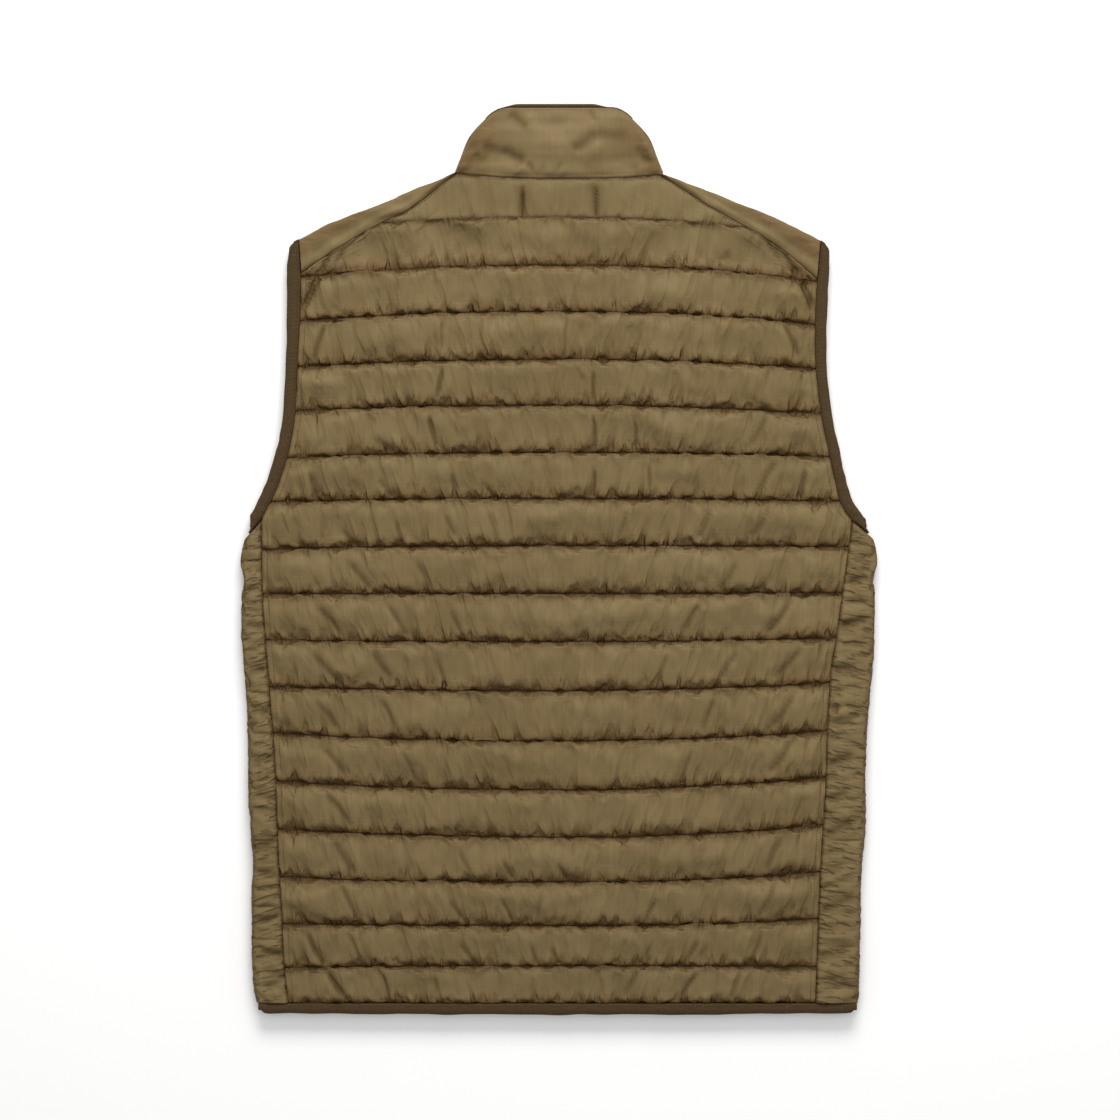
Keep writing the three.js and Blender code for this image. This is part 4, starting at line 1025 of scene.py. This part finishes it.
# %% Puff up the collar
COLLAR_ROWS = 40
COLLAR_CREASES = [
    (-42, 379, -28, 367, 1.2, 2.4), (-64, 352, -46, 344, 1.3, 2.6), (-48, 346, -30, 338, 1.3, 2.6),
    (12, 348, 31, 361, 1.3, 2.8), (31, 361, 58, 360, 1.0, 2.8), (50, 341, 66, 332, 1.0, 1.8),
    (26, 381, 30, 373, 0.5, 1.5), (-20, 372, 4, 369, 0.4, 2.6), (-72, 344, -64, 334, 0.8, 2.2),
    (-27, 337, -22, 328, 0.7, 1.4), (-14, 334, -17, 327, 0.4, 1.2), (2, 336, -3, 328, 0.5, 1.4),
    (66, 350, 74, 336, 0.7, 2.4), (-36, 336, -40, 329, 0.7, 1.3),
]
collar_outer, collar_inner = collar_grids(COLLAR_ROWS)
collar_pins = collar_outer[..., 2] < 6
collar_pins[:, [0, -1]] = True
collar_outer[..., 2] += 0.25 * value_noise(collar_outer[..., 0], collar_outer[..., 1], 17, 12,
    71) * ~collar_pins
loose = grown(collar_outer, collar_pins, growth=0.012, stiffness=60, bending=0.12, frames=11)
loose = collar_outer + blurred(blurred(loose - collar_outer, 2.0, axis=0), 2.5, axis=1)
on_top = step_up(loose[..., 2], 9.5, 12.5)
from_neck = np.maximum(0, loose[..., 1] - neck_seam(loose[..., 0]))
folds = on_top * creased(loose[..., 0], loose[..., 1], COLLAR_CREASES, 0.6)
loose[..., 2] += 1.7 * folds
loose[..., 2] += 0.7 * on_top * seam_gathers(loose[..., 0], from_neck, 81, reach=5.0)
loose[..., 2] += on_top * (1.1 * np.exp(-((from_neck - 5) / 3) ** 2) + 0.9 * value_noise(loose[..., 0],
    loose[..., 1], 24, 10, 83))
loose[..., 2] = np.clip(loose[..., 2], 0, 21.5)
loose[:, [0, -1]] = collar_outer[:, [0, -1]]
collar = closed_wall("stand_collar", loose, collar_inner[:, [0, COLLAR_ROWS // 2, -1]])
# Painted shade: browner towards the collar's sides, darker at the neck seam and in its creases.
collar_side_shade = 0.6 * step_up(np.abs(loose[..., 0] - 4), 36, 78) * on_top
keep_painted_shade(collar, np.maximum(np.exp(-(from_neck / 2.2) ** 2) * on_top, crease_shade(folds, 2.5, 0.5)), collar_side_shade)
dress(collar, smooth_nylon)
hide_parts("collar")
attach(collar, "vest")
print("collar", len(collar.data.polygons), "faces")

# %% [markdown]
# ## Elastic bindings
#
# Armholes, hem and collar edge are finished with a narrow ribbed elastic, folded over the raw edge and
# sewn through. It is darker than the nylon and has no sheen. Stretched on while sewing, it relaxes
# afterwards and gathers the nylon beside it. Each binding is a rounded band laid along its edge, with
# its ribs as fine relief across it; the armhole and hem bindings also get a row of stitches close to their inner
# edge.

# %% Ribbed elastic
elastic, tree, shader = new_material("ribbed elastic", 0.9)
along = tree.nodes.new("ShaderNodeAttribute")
along.attribute_name = "along"
ribs = tree.nodes.new("ShaderNodeMath")
ribs.operation = "SINE"
link(tree, along.outputs["Fac"], ribs.inputs[0])
speck = stretched_noise(tree, 900, (1, 1, 1), 2.0)
yarn = colour_ramp(tree, speck, [(0.3, (0.056, 0.034, 0.013)), (0.7, (0.090, 0.056, 0.024))])
yarn = mixed(tree, "MULTIPLY", 0.5, yarn, colour_ramp(tree, ribs.outputs[0],
    [(0.0, (0.62, 0.6, 0.58)), (0.6, (1, 1, 1))]))
link(tree, yarn, shader.inputs["Base Color"])
shader.inputs["Specular IOR Level"].default_value = 0.2
bump(tree, shader, [(ribs.outputs[0], 0.00012), (speck, 0.0001)])
RIB_PITCH = 1.15

BAND_BACK = [(0.0, 12.0), (0.12, 12.9), (0.3, 13.4), (0.5, 13.55), (0.7, 13.3), (0.86, 12.6), (0.96, 11.6),
    (1.0, 10.2),
             (0.97, 9.2), (0.9, 8.6), (0.0, BACK_UNDER)]
BAND_FRONT = [(0.0, 0.0), (0.3, 0.0), (0.6, 0.0), (0.85, 0.0), (0.95, 0.9), (1.0, 2.6), (1.0, 5.2), (0.97,
    6.8),
              (0.9, 7.6), (0.4, FRONT_TOP), (0.0, FRONT_TOP)]
BAND_TIP = 7
TURN_ANGLES = [70, 45, 20, 0, -20, -45, -70]


def band_sections(inside, outside, profile, swell=None):
    """Sections of a band between two lines in x, y. swell lifts the band's middle here and there."""
    sections = []
    for k, (a, b) in enumerate(zip(inside, outside)):
        lift = 0.0 if swell is None else swell[k]
        section = []
        for across, z in profile:
            x, y = a + (b - a) * across
            section.append((x, y, z + lift * math.sin(math.pi * min(1.0, across)) * (z > 10)))
        sections.append(section)
    return np.array(sections)


def turn_sections(inside, outside, away):
    """Where a band turns over from the back to the front, round the edge of the vest."""
    sections = []
    for degrees in TURN_ANGLES:
        rise, reach = math.sin(math.radians(degrees)), math.cos(math.radians(degrees))
        section = []
        for k, ((across, top), (_, low)) in enumerate(zip(BAND_BACK, BAND_FRONT)):
            x, y = inside + (outside - inside) * across + np.array(away) * (reach if k <= BAND_TIP else 0)
            section.append((x, y, FOLD_Z + abs(rise) * ((top if rise > 0 else low) - FOLD_Z)))
        sections.append(section)
    return np.array(sections)


def loop_of_sections(name, sections, around):
    """A band whose sections are closed outlines. around joins the last section to the first."""
    ring = np.concatenate([sections, sections[:, :1]], axis=1)
    rows, columns = sections.shape[:2]
    index = np.arange(rows * columns).reshape(rows, columns)
    index = np.concatenate([index, index[:, :1]], axis=1)
    if around:
        index = np.vstack([index, index[:1]])
    quads = np.stack([index[:-1, :-1], index[:-1, 1:], index[1:, 1:], index[1:, :-1]], -1)
    faces = quads.reshape(-1, 4).tolist()
    if not around:
        faces += [tuple(range(columns)), tuple(range(rows * columns - 1, (rows - 1) * columns - 1, -1))]
    piece = facing_out(new_object(name, sections.reshape(-1, 3), faces))
    middle = ring.mean(axis=1)
    run = np.concatenate([[0], np.cumsum(np.linalg.norm(np.diff(middle, axis=0), axis=1))])
    mark(piece, "along", np.repeat(run * 2 * math.pi / RIB_PITCH, columns))
    return piece


# %% Armhole bindings
ARM_STEPS = 230


def armhole_binding(side):
    inside, outside = through(ARM_INNER[side], ARM_STEPS), through(ARM_OUTER[side], ARM_STEPS)
    steps = np.arange(ARM_STEPS)
    wobble = 0.35 * value_noise(steps * 1.3, 0 * steps, 9, 1, 91 + SIGN[side])
    swell = 0.35 * value_noise(steps * 1.3, 0 * steps, 6, 1, 95 + SIGN[side])
    calm_ends = np.clip(np.minimum(steps, ARM_STEPS - 1 - steps) / 8, 0, 1)
    across = (outside - inside) / np.linalg.norm(outside - inside, axis=1)[:, None]
    run = np.concatenate([[0], np.cumsum(np.linalg.norm(np.diff(inside, axis=0), axis=1))])
    round_head = 0.55 + 0.45 * np.sqrt(1 - (1 - np.clip(run / 4.5, 0, 1)) ** 2)
    slim_foot = 0.3 + 0.7 * step_up(run[-1] - run, 0, 15)
    outside = inside + (outside - inside) * np.minimum(round_head, slim_foot)[:, None]
    edge = outside + across * (wobble * calm_ends)[:, None]
    back_band = band_sections(inside, edge, BAND_BACK, swell * calm_ends)
    front_band = band_sections(inside, outside, BAND_FRONT)[::-1]
    foot = turn_sections(inside[-1], outside[-1], (SIGN[side] * 0.5, -0.8))
    head = turn_sections(inside[0], outside[0], (0, 1.2))[::-1]
    loop = np.concatenate([back_band, foot, front_band, head])
    return loop_of_sections("armhole_elastic_" + side, loop, True)


def bind(piece, node):
    dress(piece, elastic)
    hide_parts(node)
    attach(piece, "vest")
    print(piece.name, len(piece.data.polygons), "faces")


for side in SIGN:
    bind(armhole_binding(side), "binding_armhole_" + side)

# %% Hem binding
HEM_STEPS = 300
HEM_TURN = 5.0
hem_half = {side: abs(float(x_of(SIDE_FOLD[side], HEM_SEAM_Y))) for side in SIGN}


def hem_lines(x):
    """The hem's seam line and foot line at the places x."""
    seam = np.column_stack([x, np.full(len(x), HEM_SEAM_Y - 0.3)])
    corner = np.where(x < 0, hem_half["left"], hem_half["right"]) - np.abs(x)
    rounding = 6.0 * (1 - np.sqrt(1 - (1 - np.clip(corner / 11, 0, 1)) ** 2))
    foot = np.column_stack([x, HEM_Y + 1.4 * (x / hem_half["left"]) ** 2 + rounding])
    return seam, foot


def hem_binding():
    sections = []
    left = np.linspace(-FRONT_EDGE, -(hem_half["left"] - HEM_TURN), 90)
    sections.append(band_sections(*hem_lines(left), BAND_FRONT))
    corner = {}
    for side in SIGN:
        x = SIGN[side] * (hem_half[side] - HEM_TURN)
        seam, foot = hem_lines(np.array([x]))
        corner[side] = (seam[0], foot[0] + (0, 1.6), (SIGN[side] * (HEM_TURN - 1), 0))
    sections.append(turn_sections(*corner["left"])[::-1])
    across = np.linspace(-(hem_half["left"] - HEM_TURN) + 1, hem_half["right"] - HEM_TURN - 1, HEM_STEPS)
    swell = 0.5 * value_noise(across, 0 * across, 5, 1, 101) + 0.3 * value_noise(across, 0 * across, 2.6, 1,
        102)
    seam, foot = hem_lines(across)
    foot[:, 1] += 0.5 * value_noise(across, 0 * across, 19, 1, 103)
    sections.append(band_sections(seam, foot, BAND_BACK, swell))
    sections.append(turn_sections(*corner["right"]))
    right = np.linspace(hem_half["right"] - HEM_TURN, FRONT_EDGE, 90)
    sections.append(band_sections(*hem_lines(right), BAND_FRONT))
    return loop_of_sections("hem_elastic", np.concatenate(sections), False)


bind(hem_binding(), "binding_hem")

# %% Collar binding
COLLAR_BINDING = 3.2


def collar_binding():
    """A thin roll on the collar's top edge, which slims away where the collar turns under."""
    top = collar_outer[:, -1, :]
    share = np.array([s for s, _ in collar_stations()])
    rise = np.array([r for _, r in collar_stations()])
    flat = np.column_stack([np.gradient(top[:, 1]), -np.gradient(top[:, 0])])
    flat /= np.maximum(np.linalg.norm(flat, axis=1), 1e-6)[:, None]
    flat[flat[:, 1] < 0] *= -1
    upright = np.clip((np.abs(share) - 0.86) / 0.1, 0, 1)[:, None]
    out = flat * (1 - upright) + np.column_stack([np.sign(share) * 0.3, np.full(len(share), 0.5)]) * upright
    tall = COLLAR_BINDING * np.where(rise > 0, 1 - 0.85 * step_up(np.abs(share + 0.05), 0.5, 0.74), 0.3)
    sections = []
    for k in range(len(top)):
        outer_z = top[k, 2]
        inner_z = float(collar_inner[k, -1, 2])
        profile = [(0.04, outer_z), (0.35, outer_z + 0.5 * max(0, rise[k])), (0.7,
            outer_z + 0.2 * max(0, rise[k])),
                   (0.95, outer_z * 0.7 + inner_z * 0.3), (1.0, (outer_z + inner_z) / 2),
                   (0.9, outer_z * 0.2 + inner_z * 0.8), (0.04, inner_z)]
        pulled = np.clip(top[k, 0], -abs(collar_inner[k, -1, 0]), abs(collar_inner[k, -1, 0]))
        section = []
        for place, (reach, z) in enumerate(profile):
            x = pulled if place == len(profile) - 1 else top[k, 0]
            section.append((x + out[k, 0] * tall[k] * reach, top[k, 1] + 0.3 + out[k, 1] * tall[k] * reach,
                z))
        sections.append(section)
    return loop_of_sections("collar_elastic", np.array(sections), False)


bind(collar_binding(), "binding_collar")

# %% [markdown]
# ## Fronts
#
# The two fronts lie face down under the back. They are quilted with the same pitch, but the weight on
# them presses their rolls flat against the table: only the stitched grooves and their puckers stay
# open. So each front is a wall with a flat inside and an underside that never goes below the table.

# %% Quilting of the fronts
FRONT_CORNER_Y = 195.5
FRONT_NECK_EDGE_Y = 303.6
YOKE_SHARES = [0.0, 0.36, 0.7]
FRONT_PITCH = 38.2
FRONT_CHANNELS = 15
FRONT_ROWS = 9
FRONT_COLUMNS = 150
GROOVE_DEPTH = 3.2
FRONT_CREASES = [(60, 150, 70, 122, 1.2, 1.8), (150, 140, 138, 112, 1.4, 1.8), (190, 60, 170, 34, 1.5, 2.0),
                 (110, 28, 120, 2, 1.2, 1.7), (70, -44, 62, -72, 1.2, 1.7), (196, -56, 176, -84, 1.5, 2.0),
                 (140, -92, 128, -118, 1.3, 1.8), (90, -150, 99, -176, 1.1, 1.6), (200, -160, 182, -188, 1.5,
                 2.0),
                 (60, -230, 52, -258, 1.2, 1.7), (170, -222, 156, -250, 1.4, 1.9), (120, -300, 128, -330,
                 1.2, 1.7),
                 (196, -310, 178, -338, 1.4, 1.9), (70, -338, 62, -366, 1.2, 1.7)]


def front_edge_x(side, y):
    seam = np.where(y > FRONT_CORNER_Y, x_of(SHOULDER_FRONT[side], y),
                    np.where(y > UNDERARM_Y, x_of(ARM_INNER[side], y), x_of(SIDE_SEAM[side], y)))
    return np.abs(seam) - 0.7


def front_rows():
    """Heights of the rows at the centre and at the side edge, with the place of each in its channel."""
    centre_drop = 268.0 - FRONT_CORNER_Y
    edge_drop = FRONT_NECK_EDGE_Y - FRONT_CORNER_Y
    centre = [268.0 - centre_drop * share for share in YOKE_SHARES]
    edge = [FRONT_NECK_EDGE_Y - edge_drop * share for share in YOKE_SHARES]
    lower = np.linspace(FRONT_CORNER_Y, HEM_SEAM_Y, FRONT_CHANNELS + 1)
    centre, edge = np.append(centre, lower), np.append(edge, lower)
    places = np.arange((len(centre) - 1) * FRONT_ROWS + 1) / FRONT_ROWS
    steps = np.append(channel_steps(FRONT_ROWS), 1.0)
    at = np.interp(places % 1, np.arange(FRONT_ROWS + 1) / FRONT_ROWS, steps)
    spots = np.floor(places) + at
    lines = np.arange(len(centre))
    return np.interp(spots, lines, centre), np.interp(spots, lines, edge), at, np.floor(places).astype(int)


def front_sheet(side, share, centre, edge):
    """x and y over one front. share runs from the zip (0) to the side edge (1)."""
    edge_x = front_edge_x(side, edge)
    edge_x[0] = 79.0
    x = FRONT_EDGE + (edge_x - FRONT_EDGE)[:, None] * share
    y = centre[:, None] + (edge - centre)[:, None] * share**2
    to_neck = front_neck(x[:1]) - 0.3 - y[:1]
    fade = step_up(np.arange(len(centre)), FRONT_ROWS, 0)[:, None]
    return x, y + fade * to_neck


def front_panel(side):
    centre, edge, at, channel = front_rows()
    x, y = front_sheet(side, np.linspace(0, 1, FRONT_COLUMNS), centre, edge)
    roll = np.sin(np.pi * at)[:, None] ** 0.6
    z = GROOVE_DEPTH * np.clip(1 - roll / 0.8, 0, 1) ** 1.3
    z = z + np.maximum(0, 1.1 * puckers(x, at, channel, 301 + SIGN[side], 5.2))
    z -= step_up(roll, 0.1, 0.5) * creased(x, y, FRONT_CREASES, 0.2)
    rim_gap = np.minimum(x - x[:, :1], x[:, -1:] - x)
    z = np.clip(z, 0, GROOVE_DEPTH + 0.8) + 1.2 * np.exp(-(rim_gap / 2.2) ** 2)
    outer = np.stack([SIGN[side] * x, y, z], axis=-1)
    facing = np.array([0.0, (FACING_WIDTH - FRONT_EDGE) / 200.0, (FACING_WIDTH + 7 - FRONT_EDGE) / 200.0,
        1.0])
    inner_x, inner_y = front_sheet(side, facing, centre, edge)
    inner_z = np.broadcast_to([FRONT_EDGE_TOP, FRONT_EDGE_TOP, FRONT_TOP, FRONT_TOP], inner_x.shape)
    inner = np.stack([SIGN[side] * inner_x, inner_y, inner_z], axis=-1)
    piece = closed_wall("quilted_front_" + side, outer, inner)
    # Painted shade: darker at the stitched grooves, browner where the front turns away.
    keep_painted_shade(piece, stitch_groove_shade(at, FRONT_COLUMNS))
    dress(piece, nylon)
    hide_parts("front_" + side)
    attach(piece, "vest")
    return outer


front_tops = {side: front_panel(side) for side in SIGN}
print("fronts made, grooves", GROOVE_DEPTH, "mm deep")

# %% [markdown]
# ## Thread
#
# Every channel, binding and seam is sewn. Each stitch is a short thick dash of polyester thread that
# dips at both ends into its needle holes. All stitches of one kind of seam make one piece.

# %% Stitches
def resampled(path, pitch):
    """Points a fixed distance apart along a path, and the direction at each."""
    path = np.asarray(path, float)
    run = np.concatenate([[0], np.cumsum(np.linalg.norm(np.diff(path, axis=0), axis=1))])
    places = np.arange(pitch / 2, run[-1], pitch)
    spots = np.column_stack([np.interp(places, run, path[:, k]) for k in range(3)])
    ahead = np.column_stack([np.interp(places + 0.4 * pitch, run, path[:, k]) for k in range(3)])
    back_one = np.column_stack([np.interp(places - 0.4 * pitch, run, path[:, k]) for k in range(3)])
    direction = ahead - back_one
    return spots, direction / np.maximum(np.linalg.norm(direction, axis=1), 1e-6)[:, None]


def sew(name, paths, pitch=3.0, length=2.3, radius=0.3, up=1.0):
    """Dashes of thread along the paths, as one mesh. up is 1 on the upper side and -1 on the underside."""
    points, faces = [], []
    rings = [(-0.5, 0.35, -0.5), (-0.25, 1.0, 0.3), (0.25, 1.0, 0.3), (0.5, 0.35, -0.5)]
    for path in paths:
        for spot, ahead in zip(*resampled(path, pitch)):
            beside = np.cross(ahead, (0, 0, 1))
            beside /= max(np.linalg.norm(beside), 1e-6)
            over = np.cross(beside, ahead)
            first = len(points)
            for along, thick, rise in rings:
                middle = spot + ahead * along * length + over * rise * radius * up
                for turn in range(4):
                    angle = math.pi * (turn / 2 + 0.25)
                    points.append(middle + radius * thick * (beside * math.cos(angle) + over * math.sin(angle)))
            for ring in range(3):
                for turn in range(4):
                    a, b = first + 4 * ring + turn, first + 4 * ring + (turn + 1) % 4
                    faces.append((a, b, b + 4, a + 4))
            faces.append((first, first + 3, first + 2, first + 1))
            faces.append((first + 12, first + 13, first + 14, first + 15))
    piece = facing_out(new_object(name, points, faces))
    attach(piece, "vest")
    print(name, len(faces) // 14, "stitches")
    return piece


thread, tree, shader = new_material("polyester thread", 0.6)
twist = stretched_noise(tree, 2500, (1, 1, 1), 1.0)
link(tree, colour_ramp(tree, twist, [(0.3, (0.070, 0.038, 0.012)), (0.7, (0.105, 0.060, 0.020))]),
    shader.inputs["Base Color"])
shader.inputs["Specular IOR Level"].default_value = 0.08

# %% Sew the back
LIFT = np.array([0, 0, 0.15])
quilt_rows = [row for row in range(ROWS_A_CHANNEL, fine.shape[0] - 1, ROWS_A_CHANNEL)]
channel_seams = [fine[row, 2:-2] + LIFT for row in quilt_rows]
dress(sew("quilting_stitches_back", channel_seams), thread)
side_runs = [fine[:, column] + LIFT for column in (3, -4)]
dress(sew("side_seam_stitches", side_runs, pitch=2.6, length=1.7, radius=0.24), thread)


def on_back(x, y):
    """Height of the back's surface at the point of its grid that is nearest to x, y."""
    gap = (fine[..., 0] - x) ** 2 + (fine[..., 1] - y) ** 2
    return float(fine[..., 2].reshape(-1)[np.argmin(gap)])


tack_runs = [[(x, y, on_back(x, y) + 0.25) for y in np.linspace(TACK_LOW, TACK_HIGH, 12)] for x in TACKS]
dress(sew("tack_stitches", tack_runs, pitch=2.0, length=1.7, radius=0.34), thread)

# %% Sew the bindings and the fronts
def beside_band(inside, outside, share, z):
    line = inside + (outside - inside) * share
    return np.column_stack([line, np.full(len(line), z)])


arm_runs = []
for side in SIGN:
    inner_line, outer_line = through(ARM_INNER[side], 160), through(ARM_OUTER[side], 160)
    arm_runs.append(beside_band(inner_line, outer_line, 0.22, 13.45)[3:-3])
hem_x = np.linspace(-(hem_half["left"] - 8), hem_half["right"] - 8, 200)
hem_run = beside_band(*hem_lines(hem_x), 0.2, 13.45)
dress(sew("binding_stitches", arm_runs + [hem_run], pitch=2.4, length=1.6, radius=0.22), thread)
front_runs = []
for side in SIGN:
    grid = front_tops[side]
    front_runs += [grid[row, 3:-3] for row in range(FRONT_ROWS, len(grid) - 1, FRONT_ROWS)]
dress(sew("quilting_stitches_front", front_runs, up=-1.0), thread)

# %% [markdown]
# ## The zip
#
# The zip is closed and lies inside, between the front edges. Its coil is one long nylon wire wound
# into loops, which lock into the loops of the other side. Seen from the front the loops are a dense
# row of short rounded bars, so bars are what this zip gets, alternating left and right.

# %% Coil
CHAIN_LOW_Y, CHAIN_HIGH_Y = -372.0, 318.0
COIL_PITCH = 1.6
COIL_HALF = 2.4
COIL_Z = 5.45
COIL_RADIUS = 0.62


def coil():
    points, faces = [], []
    for side in SIGN:
        start = CHAIN_LOW_Y if side == "left" else CHAIN_LOW_Y + COIL_PITCH / 2
        for y in np.arange(start, CHAIN_HIGH_Y, COIL_PITCH):
            first = len(points)
            rings = [(COIL_HALF, 0.7), (COIL_HALF - 0.35, 1.0), (0.0, 0.85), (-0.7, 1.05), (-1.0, 0.6)]
            for reach, thick in rings:
                for turn in range(6):
                    angle = math.pi * turn / 3
                    points.append((SIGN[side] * reach, y + 0.36 * thick * math.cos(angle),
                                   COIL_Z + COIL_RADIUS * thick * math.sin(angle)))
            for ring in range(len(rings) - 1):
                for turn in range(6):
                    a, b = first + 6 * ring + turn, first + 6 * ring + (turn + 1) % 6
                    faces.append((a, b, b + 6, a + 6))
            faces.append(tuple(first + turn for turn in range(6)))
            faces.append(tuple(first + 6 * (len(rings) - 1) + turn for turn in range(6)))
    piece = facing_out(new_object("zip_coil", points, faces))
    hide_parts("zip_chain")
    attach(piece, "vest")
    return piece


# %% Zip materials
moulded, tree, shader = new_material("moulded nylon", 0.42)
grain = stretched_noise(tree, 1200, (1, 1, 1), 2.0)
link(tree, colour_ramp(tree, grain, [(0.3, (0.036, 0.025, 0.012)), (0.7, (0.052, 0.037, 0.018))]),
    shader.inputs["Base Color"])
bump(tree, shader, [(grain, 0.00003)])

plated, tree, shader = new_material("dark antique plating", 0.34)
wear = stretched_noise(tree, 300, (1, 1, 1), 3.0)
link(tree, colour_ramp(tree, wear, [(0.35, (0.055, 0.049, 0.040)), (0.7, (0.105, 0.094, 0.076))]),
    shader.inputs["Base Color"])
shader.inputs["Metallic"].default_value = 1.0
bump(tree, shader, [(wear, 0.00003)])

woven, tree, shader = new_material("woven tape", 0.85)
weft = stretched_noise(tree, 1800, (0.35, 1, 1), 1.0)
warp = stretched_noise(tree, 1800, (1, 0.2, 1), 1.0)
link(tree, colour_ramp(tree, weft, [(0.3, (0.044, 0.030, 0.014)), (0.7, (0.072, 0.051, 0.026))]),
    shader.inputs["Base Color"])
bump(tree, shader, [(weft, 0.0001), (warp, 0.0001)])

dress(coil(), moulded)

# %% [markdown]
# The tapes are flat woven ribbons, and the box, slider and pull are already finished shapes, so these
# keep the model's own solids. Only their materials are new.

# %% Dress the zip's own solids
for node, material in (("zip_tape_left", woven), ("zip_tape_right", woven), ("zip_box", moulded),
                       ("zip_slider", plated), ("zip_pull", plated)):
    dress(bpy.data.objects[node], material)
print("zip dressed")
